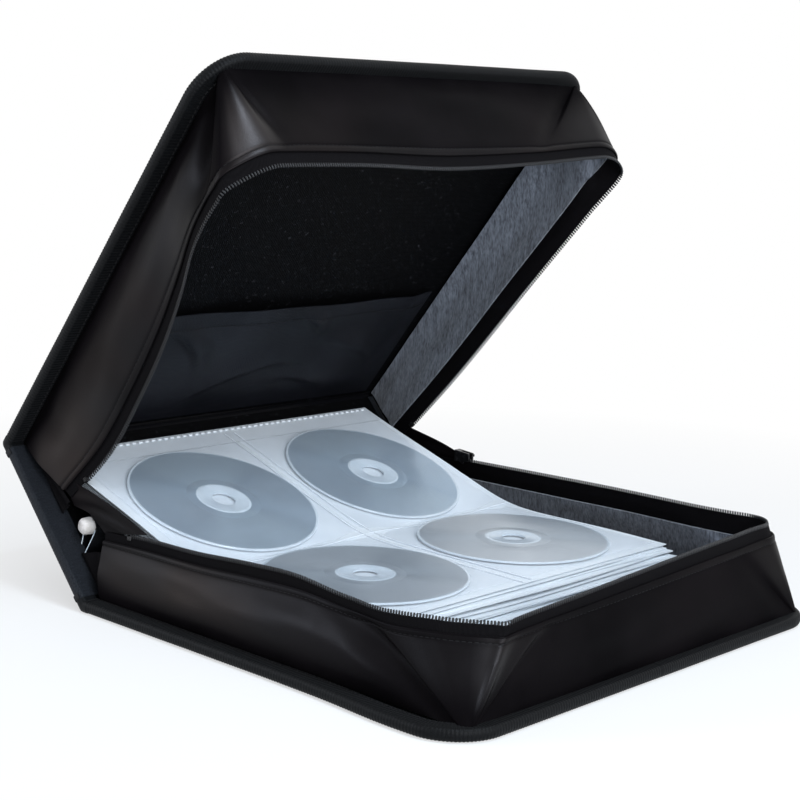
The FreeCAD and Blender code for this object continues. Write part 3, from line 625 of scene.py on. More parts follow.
def stitches(name, line, lift, size, body, slot):
    """Even row of stitches along a line."""
    at = even(line, STITCH_PITCH)
    run = unit(np.gradient(line, axis=0))
    lift = np.broadcast_to(lift, run.shape)
    axes = np.stack([pick(run, at), pick(np.cross(lift, run), at), pick(lift, at)], 1)
    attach(repeat(name, pill(*size, 5), pick(line, at), axes, (THREAD, slot)), body)


# Cover halves


def plan_line(u, side, front, depth, radius, creases=(0, 0)):
    """Line on a cover's plan at u: 0 and 5 at the hinge ends, 1 to 2 near corner, 3 to 4 far corner.

    A corner's stretch of u goes past its round part as far as the creases on the side and on the front.
    """
    centre_x, centre_along = side - radius, front - radius
    straight, arc = centre_along - HINGE_GAP, radius * math.pi / 2
    stops = np.cumsum([0, straight - creases[0], creases[0] + arc + creases[1], centre_x - creases[1]])
    run = np.interp(np.minimum(u, 5 - u), [0, 1, 2, 2.5], stops)
    turn = np.clip((run - straight) / arc, 0, 1) * math.pi / 2
    x = centre_x + radius * np.cos(turn) - np.maximum(run - straight - arc, 0)
    along = centre_along + radius * np.sin(turn) - np.maximum(straight - run, 0)
    return np.stack([np.where(u < 2.5, -x, x), along, np.full_like(u, depth)], -1)


# How the soft rims have sagged from their cut line: u, then shift in x, along and depth
BASE_SAG = (
    (0, -1.5, -2, -13), (0.17, 0, 0, -11.5), (0.39, 0.5, 0, -10.5), (0.6, 0.5, 0, -7.5), (0.79, 0.5, 0, -6),
    (0.96, 0.5, 0, -9), (1.15, 0, 0, -10), (1.25, 1.6, 0, -9), (1.35, 5, 0, -8), (1.45, 8.7, 0, -7.8),
    (1.54, 8.4, 0, -7.6), (1.63, 3, -0.5, -7.6), (1.68, -0.5, 1.2, -7.6), (1.74, -1, 0.5, -7.2),
    (2.07, 0, 0, -4.7), (2.5, 0, -0.5, -1), (3, 0, -3, 2), (3.27, 2, -5.5, 2.5), (3.46, -1, -4, 2),
    (3.65, -2.5, 0, 0.6), (4.3, -0.5, 0, -1.5), (5, -2, -1, -4),
)
LID_SAG = (
    (0, -2, 3, -3), (0.18, 5, 3, 0), (0.37, 4, 3, 0), (0.56, -1, 3, 0), (0.76, -10, 1, -0.5),
    (0.91, -19, 0, -1), (1.17, -21, -8, -0.5), (1.39, -21, -18, 0), (1.6, -20, -17, 0), (2, -8, -17, 0),
    (2.5, 0, -20, 0), (3, 8, -16, 0), (3.4, 20, -10, 0.5), (3.61, 22, -7, 2.5), (3.82, 19, 0, 2),
    (4.3, 7.5, 0, 0.5), (4.7, -1, 0, -1), (5, -8, 2, -5),
)
# Outward slack of the wall's straight runs: u, millimetres
BASE_SLACK = ((0, 3), (0.25, 6), (0.6, 7), (0.9, 6), (2.2, 5), (2.8, 4), (4.2, 4), (5, 2))
LID_SLACK = ((0, 3), (0.3, 5), (0.65, 6), (1, 2), (2.2, 4), (2.8, 4), (4.2, 5), (5, 2))
# Painted sheen of the wall, which raises its reflection where highlights are painted and lowers it as
# painted shade: u, share
BASE_PAINTED_SHEEN = (
    (0, 0.8), (0.3, 1), (0.7, 0.5), (1, 0.2), (1.5, 0.5), (1.6, 1.4), (1.7, 1), (1.8, 0.3),
    (2.1, 0.1), (3, 0), (3.4, 0.3), (4, 0.5), (4.5, 0.8), (5, 0.6),
)
LID_PAINTED_SHEEN = (
    (0, 1.7), (0.2, 1.4), (0.35, 0.8), (0.6, 0.7), (0.8, 1), (0.95, 0.1), (1.25, 0), (1.34, 0.6), (1.4, 2),
    (1.6, 2), (1.68, 0.3), (2.2, 0.15), (3, 0.15), (3.5, 0.8), (4, 0.5), (4.5, 0.9), (5, 0.6),
)
# Past the round of a rim corner: where the creases end on the side and on the front
BASE_CREASES = (50, 38)
LID_CREASES = (22, 50)
# Pinched corners: u of the ridge, how far it stands out, its width and power, and its creases' u and depth
SHARP, ROUND = (0.055, 1), (0.12, 2)
BASE_CORNERS = (
    (1.67, 3.2, SHARP, ((1, 4.5), (2, 4.0))),
    (3.42, -0.3, SHARP, ((3, 2.0), (4, 3.0))),
)
LID_CORNERS = (
    (1.5, 1.6, ROUND, ((0.1, 2.0), (1, 8.0), (1.68, 1.8))),
    (3.55, 1.6, SHARP, ((3, 3.5), (4, 5.0))),
)
CREASE_WIDTH = 0.05
# Waves of the slack leather: height, length along the rim, slant and phase
WAVES = ((0.6, 41, 8, 0), (0.4, 19, -13, 1.7), (0.15, 9.5, 20, 0))
# Points of the wall in each unit of u, and its rows: the leather, then the hem with its seam
STATIONS = (70, 60, 76, 60, 70)
LEATHER_SHARES = (0, 0.03, 0.07, 0.12, 0.17, 0.23, 0.29, 0.35, 0.41, 0.47, 0.53, 0.59, 0.64, 0.69, 0.73)
HEM_SHARES = (0.76, 0.775, 0.785, 0.793, 0.80, 0.807, 0.815, 0.825, 0.84, 0.852, 0.86)


class Half:
    """One cover with its soft wall, in cover coordinates."""

    def __init__(self, name, place, inside, sag, slack, painted_sheen, creases, corners):
        self.name, self.place, self.inside, self.corners = name, place, inside, corners
        runs = [np.linspace(k, k + 1, count, endpoint=False) for k, count in enumerate(STATIONS)]
        self.u = np.concatenate([*runs, [len(STATIONS)]])
        self.foot = plan_line(self.u, FOOT_SIDE, FOOT_FRONT, FOOT_DEPTH, FOOT_CORNER)
        cut = plan_line(self.u, RIM_SIDE, RIM_FRONT, RIM_DEPTH, RIM_CORNER, creases)
        self.rim = cut + through(sag, self.u)
        self.run = lengths(self.rim)
        self.slack = through(slack, self.u)
        self.painted_sheen = np.interp(self.u, *np.array(painted_sheen).T)
        tangent = np.gradient(self.rim * 0.6 + self.foot * 0.4, axis=0)
        self.out = unit(np.stack([-tangent[:, 1], tangent[:, 0], 0 * self.u], -1))

    def bulge(self, t, pinched):
        """How far the wall stands out of the straight line from foot to rim."""
        u, run = self.u[:, None], self.run[:, None]
        rise = np.clip(t / HEM_SHARE, 0, 1)
        belly = np.sin(math.pi * rise**0.85)
        low = np.sqrt(rise) * (1 - rise) * 2.4
        flat, pinch = 1, 0
        for first, (ridge, stands_out, (width, power), creases) in zip((1, 3), self.corners):
            outside = np.maximum(first - u, u - first - 1)
            fade = np.where(np.abs(u - 2.5) < 0.5, 0.4, 0.16)
            flat = flat * (0.1 + 0.9 * smooth(outside / fade))
            pinch = pinch + stands_out * np.exp(-((np.abs(u - ridge) / width) ** power)) * belly
            for crease, depth in creases:
                pinch = pinch - depth * hump(u, crease, CREASE_WIDTH) * low
        waves = sum(size * np.sin(run / length + slant * t + phase) for size, length, slant, phase in WAVES)
        seam = -0.5 * hump(t, STITCH_SHARE, 0.008) + 0.35 * hump(t, HEM_SHARE - 0.015, 0.016)
        return (self.slack + waves) * belly * flat + pinch * pinched + seam

    def wall(self, shares, inward=0.0):
        """Grid of points on the wall, moved inwards."""
        t = np.asarray(shares, float)[None]
        straight = self.foot[:, None] * (1 - t[..., None]) + self.rim[:, None] * t[..., None]
        out = self.out[:, None]
        calm, grid = (straight + out * self.bulge(t, pinched)[..., None] for pinched in (0, 1))
        return grid + self.inwards(calm) * inward

    def inwards(self, grid):
        """Unit normals of a wall grid that point into the case."""
        n = normals(grid)
        return np.where((n * self.out[:, None]).sum(-1, keepdims=True) > 0, -n, n)

    def paint_wall_sheen(self, obj, shares):
        """Store the painted sheen of each point of a wall's two faces: painted shade at the foot, a painted
        highlight on the belly.
        """
        belly = smooth(shares, 0.1, 0.55) * (1 - 0.4 * smooth(shares, 0.74, 0.8))
        values = self.painted_sheen[:, None] * belly[None] * 1.5 - 0.5
        hem = np.array(shares) > STITCH_SHARE
        paint_sheen(obj, np.tile(np.where(hem, np.maximum(values, HEM_PAINTED_SHEEN[self.name]), values).ravel(), 2))

    def layer(self, suffix, shares, inward, thick, finish):
        """One layer of the wall as a cloth, its thickness inwards."""
        grid = self.wall(shares, inward)
        world = self.place(grid)
        toward = self.place(grid + self.inwards(grid)) - world
        name, binding = f"{self.name}_{suffix}", f"{self.name}_binding"
        return cloth(name, world, thick, finish, self.name, toward)

    def along_wall(self, share, inward, pitch, start=None):
        """Even places on the wall at a share of its height, with axes along, up and inwards."""
        shares = (share - 0.01, share, share + 0.01)
        below, line, above = self.place(self.wall(shares, inward).swapaxes(0, 1))
        at = even(line, pitch)
        if start is not None:
            at = at[pick(self.rim[:, 1], at) > start]
        run = unit(np.gradient(line, axis=0))
        across = unit(np.cross(run, unit(above - below)))
        axes = np.stack([pick(run, at), pick(np.cross(across, run), at), pick(across, at)], 1)
        return pick(line, at), axes


def outline(inset, pitch):
    """Plan of a cover's three free edges, from the near hinge end to the far one, moved inwards."""
    side, front, radius = HALF_WIDTH - inset, COVER_LENGTH - inset, max(COVER_CORNER - inset, 2)
    straight = np.arange(HINGE_GAP, front - radius, pitch)
    turn = np.arange(0, 1, pitch / (COVER_CORNER * math.pi / 2)) * math.pi / 2
    across = np.arange(side - radius, 0, -pitch)
    x = np.concatenate([np.full_like(straight, side), side - radius + radius * np.cos(turn), across])
    along = np.concatenate([straight, front - radius + radius * np.sin(turn), np.full_like(across, front)])
    far = np.stack([x, along], -1)
    return np.concatenate([far * [-1, 1], far[::-1]])


RIB_PITCH = 2.1
RIB_HEIGHT = 0.13
PUCKER = ((0.03, 23.0, 0), (0.024, 9.1, 1))
EDGE_BULGE = 4.0
EDGE_BULGE_AT = 256
EDGE_BULGE_RUN = 45


def edge_line(half, inset, pitch):
    """Outline of a cover; the base's near edge stands out a little near its front corner."""
    line = outline(inset, pitch)
    if half.name == "base":
        line[:, 0] -= EDGE_BULGE * hump(line[:, 1], EDGE_BULGE_AT, EDGE_BULGE_RUN) * (line[:, 0] < 0)
    return line


def tape_profile(flap=TAPE_WIDTH):
    """Edge tape folded over the edge: inset from the edge and depth, outer face first, inner flap last."""
    turn = np.linspace(-1, 1, 11) * math.pi / 2
    bend = np.stack([EDGE_HALF * 0.62 * (1 - np.cos(turn)), EDGE_HALF * np.sin(turn)], -1)
    flat = np.linspace(TAPE_WIDTH, EDGE_HALF, 4)
    low = np.stack([flat, np.full_like(flat, -EDGE_HALF)], -1)
    high = np.stack([np.linspace(EDGE_HALF, flap, 8), np.full(8, EDGE_HALF)], -1)
    return np.concatenate([low, bend, high])


def ribbed(profile, rib):
    """Sections of an edge tape, its points moved outwards by rib."""
    face = unit(np.gradient(profile, axis=0))
    outward = np.stack([-face[:, 1], face[:, 0]], -1)
    return profile[None] + outward[None] * rib[..., None]


def edge_binding(half):
    """Ribbed tape folded round the three free edges of a cover."""
    line = edge_line(half, 0, RIB_PITCH / 4)
    run = lengths(line)
    tangent = unit(np.gradient(line, axis=0))
    inward = np.stack([tangent[:, 1], -tangent[:, 0]], -1)
    inward *= np.sign(((np.array([0, COVER_LENGTH / 2]) - line) * inward).sum(-1).mean())
    rib = RIB_HEIGHT * np.cos(2 * math.pi * run / RIB_PITCH) + ripple(run, PUCKER)
    section = ribbed(tape_profile(), rib[:, None])
    plan = line[:, None] + inward[:, None] * section[..., :1]
    world = half.place(np.concatenate([plan, np.maximum(section[..., 1:], -EDGE_HALF)], -1))
    core = half.place(np.concatenate([line + inward * EDGE_HALF, 0 * line[:, :1]], -1))
    name, board, toward = f"{half.name}_binding", f"{half.name}_board", core[:, None] - world
    cloth(name, world, TAPE_THICK, EDGE_TAPE, half.name, toward)


def tape_stitches(half, depth, suffix):
    """Row of stitches near the inner edge of the edge tape."""
    line = edge_line(half, TAPE_WIDTH - 1.8, 1.0)
    world = half.place(np.concatenate([line, np.full((len(line), 1), depth)], -1))
    stitches(f"{half.name}_{suffix}", world, half.inside, TAPE_STITCH, half.name, "edge_tape")


def cover_rows(margin):
    """Rows of a cover panel along its length, and the half width at each."""
    front = COVER_LENGTH - margin
    straight = np.linspace(HINGE_GAP, front - COVER_CORNER, 34)
    curved = front - COVER_CORNER * (1 - np.sin(np.linspace(0, math.pi / 2, 14)[1:]))
    along = np.concatenate([straight, curved])
    past = np.clip(along - (front - COVER_CORNER), 0, COVER_CORNER)
    return along, HALF_WIDTH - margin - COVER_CORNER + np.sqrt(COVER_CORNER**2 - past**2)


def cover_skin(half, puff):
    """Leatherette outside of a cover, padded inside the edge tape."""
    along, half_width = cover_rows(SKIN_THICK)
    x = half_width[:, None] * np.sin(np.linspace(-1, 1, 61) * math.pi / 2)[None]
    a = np.broadcast_to(along[:, None], x.shape)
    inset = np.minimum(half_width[:, None] - np.abs(x), COVER_LENGTH - a)
    step = smooth(inset, TAPE_WIDTH - 1, TAPE_WIDTH + 4)
    pad = puff * (1 - np.exp(-np.maximum(inset - TAPE_WIDTH, 0) / 22))
    dent = 0.25 * puff * np.sin(x / 31 + a / 47) * np.sin(a / 29)
    depth = -EDGE_HALF + SKIN_THICK * (1 - step) - (pad + dent) * step
    world = half.place(np.stack([x, a, depth], -1))
    name, board = f"{half.name}_skin", f"{half.name}_board"
    skin = cloth(name, world, SKIN_THICK, COVER_LEATHER, half.name, half.inside)
    paint_sheen(skin, SKIN_PAINTED_SHEEN)


def cover_lining(half, crease):
    """Black lining inside a cover, a little slack."""
    side, front = FOOT_SIDE - 2.2, FOOT_FRONT - 2.2
    x, a = np.meshgrid(np.linspace(-side, side, 71), np.linspace(HINGE_GAP, front, 61))
    edge = np.minimum(np.minimum(side - np.abs(x), front - a), a - HINGE_GAP)
    slack = np.sin(x / 17 + 0.6 * np.sin(a / 38)) * np.sin(a / 61 + x / 90) + 0.6 * np.sin((x + a) / 11.5)
    depth = FLOOR_DEPTH + crease * smooth(edge, 0, 40) * (slack + 1.2) * 0.5
    world = half.place(np.stack([x, a, depth], -1))
    name, board = f"{half.name}_lining", f"{half.name}_board"
    cloth(name, world, LINING_THICK, LINING, half.name, -half.inside)


def zip_teeth(half):
    """Coil of the zip: a row of small nylon bars on the rim, with a stop at each end."""
    places, axes = half.along_wall(1.0, LEATHER_THICK + TAPE_LAYER / 2, TOOTH_PITCH, ZIP_END)
    axes = axes[:, [1, 0, 2]]
    ends = [0, -1]
    beyond = np.stack([-axes[0, 1], axes[-1, 1]])
    stops = places[ends] - axes[ends, 0] * 1.2 + beyond * 2.2
    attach(repeat(f"{half.name}_zip_coil", pill(*TOOTH), places, axes, ZIP_COIL), half.name)
    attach(repeat(f"{half.name}_zip_stops", pill(*ZIP_STOP, 8), stops, axes[ends], METAL), half.name)


def hem_bead(half):
    """Folded top edge of the leatherette, just below the zip tape, and the stitches under it."""
    places, axes = half.along_wall(HEM_SHARE, 0.35, 2.2)
    bead = tube(f"{half.name}_hem", ellipses(places, axes[:, 1], axes[:, 2], 0.85, 0.6), LEATHER)
    # The hem's reflection gets a painted sheen, or painted shade on the base
    paint_sheen(bead, HEM_PAINTED_SHEEN[half.name])
    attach(bead, half.name)
    places, axes = half.along_wall(STITCH_SHARE, 0.1, STITCH_PITCH)
    finish = (THREAD, "leatherette")
    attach(repeat(f"{half.name}_hem_stitches", pill(*HEM_STITCH, 5), places, axes, finish), half.name)


def build_half(half, puff, crease):
    """All soft layers of one cover."""
    cover_skin(half, puff)
    edge_binding(half)
    cover_lining(half, crease)
    wall_shares = LEATHER_SHARES + HEM_SHARES
    # The wall gets its painted sheen and painted shade
    half.paint_wall_sheen(half.layer("wall", wall_shares, 0, LEATHER_THICK, LEATHER), wall_shares)
    half.layer("zip_tape", np.linspace(*TAPE_SHARES, 9), LEATHER_THICK + 0.15, TAPE_LAYER, ZIP_TAPE)
    felt_inward = LEATHER_THICK + TAPE_LAYER + 0.3
    half.layer("wall_felt", np.linspace(0.0, FELT_SHARE, 22), felt_inward, FELT_LAYER, FELT)
    zip_teeth(half)
    hem_bead(half)
    tape_stitches(half, EDGE_HALF + 0.1, "tape_stitches_in")
    if puff:
        tape_stitches(half, -EDGE_HALF - 0.1, "tape_stitches_out")


base = Half("base", place_base, BASE_IN, BASE_SAG, BASE_SLACK, BASE_PAINTED_SHEEN, BASE_CREASES, BASE_CORNERS)
lid = Half("lid", place_lid, LID_IN, LID_SAG, LID_SLACK, LID_PAINTED_SHEEN, LID_CREASES, LID_CORNERS)
build_half(base, puff=0.0, crease=0.2)
build_half(lid, puff=1.0, crease=0.9)

# Lid pocket

POCKET_SIDE = node_box("lid_pocket")[1][0]
POCKET_FOOT = HINGE_GAP + 4
POCKET_MOUTH = 108
POCKET_LIFT = 2.6
POCKET_HEM_ROWS = 7
# Folds of the slack pocket: middle (x, along), slant, half length, half width, height
POCKET_FOLDS = (
    (-65, 80, -0.76, 26, 6, 5.0),
    (38, 90, -0.65, 12, 5, 4.0),
    (95, 62, -0.5, 30, 8, 3.6),
    (0, 52, 0.3, 40, 9, 3.6),
    (60, 36, -0.3, 30, 8, 3.0),
)


def lid_pocket():
    """Slack nylon pocket on the hinge side of the lid, with a hem tape on its mouth."""
    columns = np.linspace(-POCKET_SIDE, POCKET_SIDE, 101)
    x, a = np.meshgrid(columns, np.linspace(POCKET_FOOT, POCKET_MOUTH, 45))
    free = smooth(np.minimum(POCKET_SIDE - np.abs(x), a - POCKET_FOOT), 0, 26)
    folds = 0.5 * np.sin(x / 13 + a / 29) + 0.7 * np.sin(x / 31 - a / 17 + 1.1) + 1.6
    for fold_x, fold_a, slant, reach, width, height in POCKET_FOLDS:
        along = (x - fold_x) * math.cos(slant) + (a - fold_a) * math.sin(slant)
        across = (a - fold_a) * math.cos(slant) - (x - fold_x) * math.sin(slant) + along**2 / 160
        steepness = np.where(across < 0, 0.45, 1.7)
        folds = folds + height * hump(along, 0, reach) * hump(across, 0, steepness * width)
    lift = POCKET_LIFT * smooth(a, POCKET_FOOT, POCKET_MOUTH)
    world = place_lid(np.stack([x, a, FLOOR_DEPTH + 1.6 + free * (lift + folds)], -1))
    cloth("lid_pocket", world, POCKET_THICK, POCKET, "lid")
    hem = world[-POCKET_HEM_ROWS:] + LID_IN * POCKET_HEM_THICK
    cloth("lid_pocket_hem", hem, POCKET_HEM_THICK, POCKET, "lid")
    seam = world[1 - POCKET_HEM_ROWS] + LID_IN * 0.6
    stitches("lid_pocket_stitches", seam, LID_IN, POCKET_STITCH, "lid", "pocket_nylon")


lid_pocket()

# Spine

SPINE_FOOT, SPINE_HEAD = HINGE_GAP, SPINE_HEIGHT - HINGE_GAP
SPINE_FLAP = TAPE_WIDTH + 8
SPINE_TAPE_THICK = 0.55
FLAP_SLACK = 0.5
FOLD_CRIMP = ((0.03, 5.1, 0), (0.03, 2.3, 1))


def spine_arch(up):
    """Is 0 at both hinges and 1 half way up the spine."""
    return np.sin(math.pi * (up - SPINE_FOOT) / (SPINE_HEAD - SPINE_FOOT))


def spine_panels():
    """Leatherette outside and glossy vinyl inside of the spine."""
    x, up = np.meshgrid(np.linspace(-SKIN_SIDE, SKIN_SIDE, 81), np.linspace(SPINE_FOOT, SPINE_HEAD, 29))
    step = smooth(SKIN_SIDE - np.abs(x), TAPE_WIDTH - 1, TAPE_WIDTH + 4)
    swell = 0.8 * spine_arch(up) + 0.15 * np.sin(x / 23) * np.sin(up / 11)
    outer = place_spine(np.stack([x, up, EDGE_HALF - SKIN_THICK + (SKIN_THICK + swell) * step], -1))
    skin = cloth("spine_skin", outer, SKIN_THICK, COVER_LEATHER, "spine", -SPINE_OUT)
    paint_sheen(skin, SKIN_PAINTED_SHEEN)
    loose = step * smooth(np.minimum(up - SPINE_FOOT, SPINE_HEAD - up), 2, 12)
    ripple = 0.28 * np.sin(x / 19 + up / 13) + 0.2 * np.sin(x / 7.3 - up / 23)
    inner = place_spine(np.stack([x, up, -FLOOR_DEPTH - 0.35 - ripple * loose], -1))
    cloth("spine_lining", inner, VINYL_THICK, VINYL, "spine", SPINE_OUT)


def spine_binding(position, side):
    """Ribbed tape folded over one end of the spine, its inner flap wide and slack."""
    up = np.arange(SPINE_FOOT, SPINE_HEAD, RIB_PITCH / 4)
    profile = tape_profile(SPINE_FLAP)
    rib = 0.4 * RIB_HEIGHT * np.cos(2 * math.pi * up / RIB_PITCH)
    inner = smooth(profile[:, 0], EDGE_HALF, SPINE_FLAP) * (profile[:, 1] > 0)
    section = ribbed(profile, rib[:, None] + FLAP_SLACK * spine_arch(up)[:, None] * inner[None])
    x = position * (HALF_WIDTH - section[..., 0])
    world = place_spine(np.stack([x, np.broadcast_to(up[:, None], x.shape), -section[..., 1]], -1))
    name, inside = f"spine_{side}_binding", -position * X_AXIS
    # The spine's tape ends take the lighter copy of the tape: painted light
    cloth(name, world, SPINE_TAPE_THICK, SPINE_TAPE_PAINTED_LIGHT, "spine", inside)


def fold_section(level, corner, first, first_in, second, second_in):
    """Line round the corner between two panels at a level inside them: an arc outside, a cut inside."""
    mitre = math.tan(math.acos(float(first_in @ second_in)) / 2)
    back = np.linspace(HINGE_GAP, max(level, 0) * mitre, 4)[:, None]
    start = corner + first * back + first_in * level
    end = corner + second * back[::-1] + second_in * level
    step = np.linspace(0, 1, 12)[1:-1, None]
    turned = corner + unit(first_in * (1 - step) + second_in * step) * level
    if level > 0:
        turned = start[-1] + (end[0] - start[-1]) * step
    return np.concatenate([start, turned, end])


def hinge_fold(name, corner, first, first_in, second, second_in, bodies):
    """Leatherette fold between panels that run along first and second, with its gutter and tape ends."""
    panels = (corner, first, first_in, second, second_in)
    bend = (*bodies, corner + first * HINGE_GAP, corner + second * HINGE_GAP)
    x = np.linspace(-SKIN_SIDE, SKIN_SIDE, 133)[:, None, None]
    away = fold_section(-EDGE_HALF + 0.1, *panels)[None] - corner
    outer = corner + away * (1 + ripple(x, FOLD_CRIMP)) + x * X_AXIS
    cloth(name, outer, FOLD_THICK, LEATHER, bend, -away)
    tuck = ((HINGE_GAP + 1.6, FLOOR_DEPTH - 0.4), (2.2, FLOOR_DEPTH - 0.7))
    rising = [first * run + first_in * level for run, level in tuck]
    falling = [second * run + second_in * level for run, level in tuck[::-1]]
    gutter = corner + np.array([*rising, (first + second) * 0.4, *falling])
    cloth(f"{name}_inside", gutter[None] + x * X_AXIS, GUTTER_THICK, VINYL, bend)
    profile = tape_profile() * [1, 1.08] - [0.15, 0]
    sections = np.stack([fold_section(level, *panels) for level in profile[:, 1]])
    for position, side in SIDES:
        tab = sections + (position * (HALF_WIDTH - profile[:, 0]))[:, None, None] * X_AXIS
        cloth(f"{name}_{side}_tab", tab, TAB_THICK, EDGE_TAPE, bend, corner - tab)


def bar_tacks():
    """Dense stitches across the tape at both ends of the spine."""
    places, axes = [], []
    for position, _ in SIDES:
        for up in (SPINE_FOOT + 2.0, SPINE_HEAD - 2.0):
            for step in np.linspace(1.2, TAPE_WIDTH - 0.5, 12):
                places.append(place_spine([position * (HALF_WIDTH - step), up, EDGE_HALF + 0.15]))
                axes.append(np.stack([SPINE_UP, X_AXIS, SPINE_OUT]))
                depth = (step / TAPE_WIDTH - 0.5) * 5
                places.append(place_spine([position * (HALF_WIDTH + 0.1), up, depth]))
                axes.append(np.stack([SPINE_UP, SPINE_OUT, X_AXIS]))
    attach(repeat("spine_bar_tacks", pill(*BAR_TACK, 5), places, axes, (THREAD, "edge_tape")), "spine")


spine_panels()
for side_sign, side_name in SIDES:
    spine_binding(side_sign, side_name)
bar_tacks()
hinge_fold("lower_fold", LOWER_HINGE, BASE_ALONG, BASE_IN, SPINE_UP, -SPINE_OUT, ("base", "spine"))
hinge_fold("upper_fold", UPPER_HINGE, -SPINE_UP, -SPINE_OUT, LID_ALONG, LID_IN, ("spine", "lid"))

# Rod and its hem

ROD_LOW, ROD_HIGH = node_box("binder_rod")
ROD_CENTRE = (ROD_LOW + ROD_HIGH) / 2
HEM_LOW, HEM_HIGH = node_box("rod_hem")
HEM_OVERHANG = 6
LEG_POINTS = 6
HEM_CRIMP = ((0.02, 6.3, 0), (0.02, 2.7, 0))
# Rounded end of the rod: how far past the solid, and share of its radius
ROD_END = ((-6, 1.02), (0, 1.03), (2.6, 1.0), (3.7, 0.86), (4.3, 0.55), (4.5, 0.08))


def rod_hem():
    """Glossy vinyl loop that carries the rod and has a narrow foot, and pale tubes along the cut edges of
    its legs as a painted glint.
    """
    sweep = np.radians(np.linspace(-28, 208, 26))
    loop = np.stack([np.cos(sweep), np.sin(sweep)], -1) * (HEM_HIGH[1] - HEM_LOW[1]) / 2
    foot = HEM_LOW[2] + 0.6 - ROD_CENTRE[2]
    start, end = np.array([[1.0, foot]]), np.array([[-1.0, foot]])
    legs = np.linspace(0, 1, LEG_POINTS)[:-1, None]
    rising, falling = start + (loop[0] - start) * legs, (end + (loop[-1] - end) * legs)[::-1]
    section = np.concatenate([rising, loop, falling])
    x = np.linspace(HEM_LOW[0], HEM_HIGH[0], 60)[:, None]
    near_end = 1 - smooth(x, HEM_LOW[0], HEM_LOW[0] + 20)
    overhung = x - HEM_OVERHANG * near_end * smooth(section[:, 1], 0, foot)[None]
    y = ROD_CENTRE[1] + section[None, :, 0] * (1 + ripple(x, HEM_CRIMP))
    grid = np.stack([overhung, y, np.broadcast_to(ROD_CENTRE[2] + section[None, :, 1], y.shape)], -1)
    toward_rod = (ROD_CENTRE - grid) * [0, 1, 1]
    cloth("rod_hem", grid, VINYL_THICK, VINYL, "spine", toward_rod)
    # The cut edges are real; their pale colour is a painted glint
    cut = np.concatenate([grid[0, LEG_POINTS::-1], grid[0, : -LEG_POINTS - 2 : -1]]) - X_AXIS * 0.3
    sideways = np.broadcast_to(X_AXIS, cut.shape)
    upright = np.cross(unit(np.gradient(cut, axis=0)), sideways)
    rings = ellipses(cut, sideways, upright, 0.35, 0.3)
    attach(tube("rod_hem_painted_glint_edge", rings, (CLEAR, "vinyl")), "spine")


def rod_end():
    """Roughly cut, rounded end of the rod where it looks out at the near side."""
    radius = (ROD_HIGH[2] - ROD_LOW[2]) / 2
    turn = np.linspace(0, 2 * math.pi, 33)[:-1]
    rings = []
    for reach, share in ROD_END:
        rough = radius * share * (1 + 0.03 * np.sin(5 * turn + reach) + 0.02 * np.sin(11 * turn))
        x = ROD_LOW[0] - reach + 0.35 * np.sin(3 * turn) * (1.1 - share)
        y, z = ROD_CENTRE[1] + rough * np.cos(turn), ROD_CENTRE[2] + rough * np.sin(turn)
        rings.append(np.stack([x, y, z], -1))
    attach(tube("binder_rod_end", np.stack(rings), ROD, sharp=60), "spine")


rod_hem()
rod_end()

# Webs between the walls at both ends of the spine

WEB_SIDE = RIM_SIDE - 0.6
FAN_SIDE = FOOT_SIDE - 3.5
FAN_PLEAT = 1.2
# Reach of the fans from the hinges along the walls' ends
FAN_LID, FAN_BASE = (6, 55), (6, 32)
# Lower and upper edge of the web as (y, z): at the base wall, over the rod, and at the lid wall
WEB = (((148.5, 45), (110, 52)), ((163, 54), (147, 64)), ((179, 56.5), (190, 73)))


def gusset(position, side):
    """Soft web from inside the end of the base wall, over the rod, to the spine end of the lid wall."""
    corners = np.array([[(position * WEB_SIDE, y, z) for y, z in edges] for edges in WEB])
    table = np.column_stack([range(len(WEB)), corners.reshape(len(WEB), -1)])
    line = through(table, np.linspace(0, len(WEB) - 1, 29)).reshape(-1, 2, 3)
    across = np.linspace(0, 1, 9)[None, :, None]
    pleat = np.sin(across * 7 + np.linspace(0, 10, 29)[:, None, None]) * np.sin(math.pi * across)
    grid = line[:, :1] * (1 - across) + line[:, 1:] * across - X_AXIS * pleat * position * 0.7
    bend = ("base", "spine", corners[0].mean(0), corners[1].mean(0))
    cloth(f"{side}_gusset", grid, WEB_THICK, LEATHER, bend)


def fan(name, position, corner, spine, wall, wall_in, reach, bodies):
    """Black cloth fan that closes the wedge between the end of the spine and the end of a wall."""
    level = np.linspace(*reach, 16)[None, :, None]
    share = np.linspace(0, 1, 61)[:, None, None]
    at_spine = corner + spine * level - SPINE_OUT * (EDGE_HALF + 0.6)
    at_wall = corner + wall * (HINGE_GAP + 1) + wall_in * level
    pleat = FAN_PLEAT * np.sin(share * 3 * math.pi) * smooth(level, *reach)
    grid = at_spine * (1 - share) + at_wall * share + position * (FAN_SIDE + pleat) * X_AXIS
    bend = (*bodies, at_spine[0, 0], at_wall[0, 0])
    cloth(name, grid, FAN_THICK, ZIP_TAPE, bend)


for side_sign, side_name in SIDES:
    gusset(side_sign, side_name)
    lid_wedge = (UPPER_HINGE, -SPINE_UP, LID_ALONG, LID_IN, FAN_LID, ("spine", "lid"))
    fan(f"{side_name}_fan_lid", side_sign, *lid_wedge)
    base_wedge = (LOWER_HINGE, SPINE_UP, BASE_ALONG, BASE_IN, FAN_BASE, ("spine", "base"))
    fan(f"{side_name}_fan_base", side_sign, *base_wedge)

# Sleeves

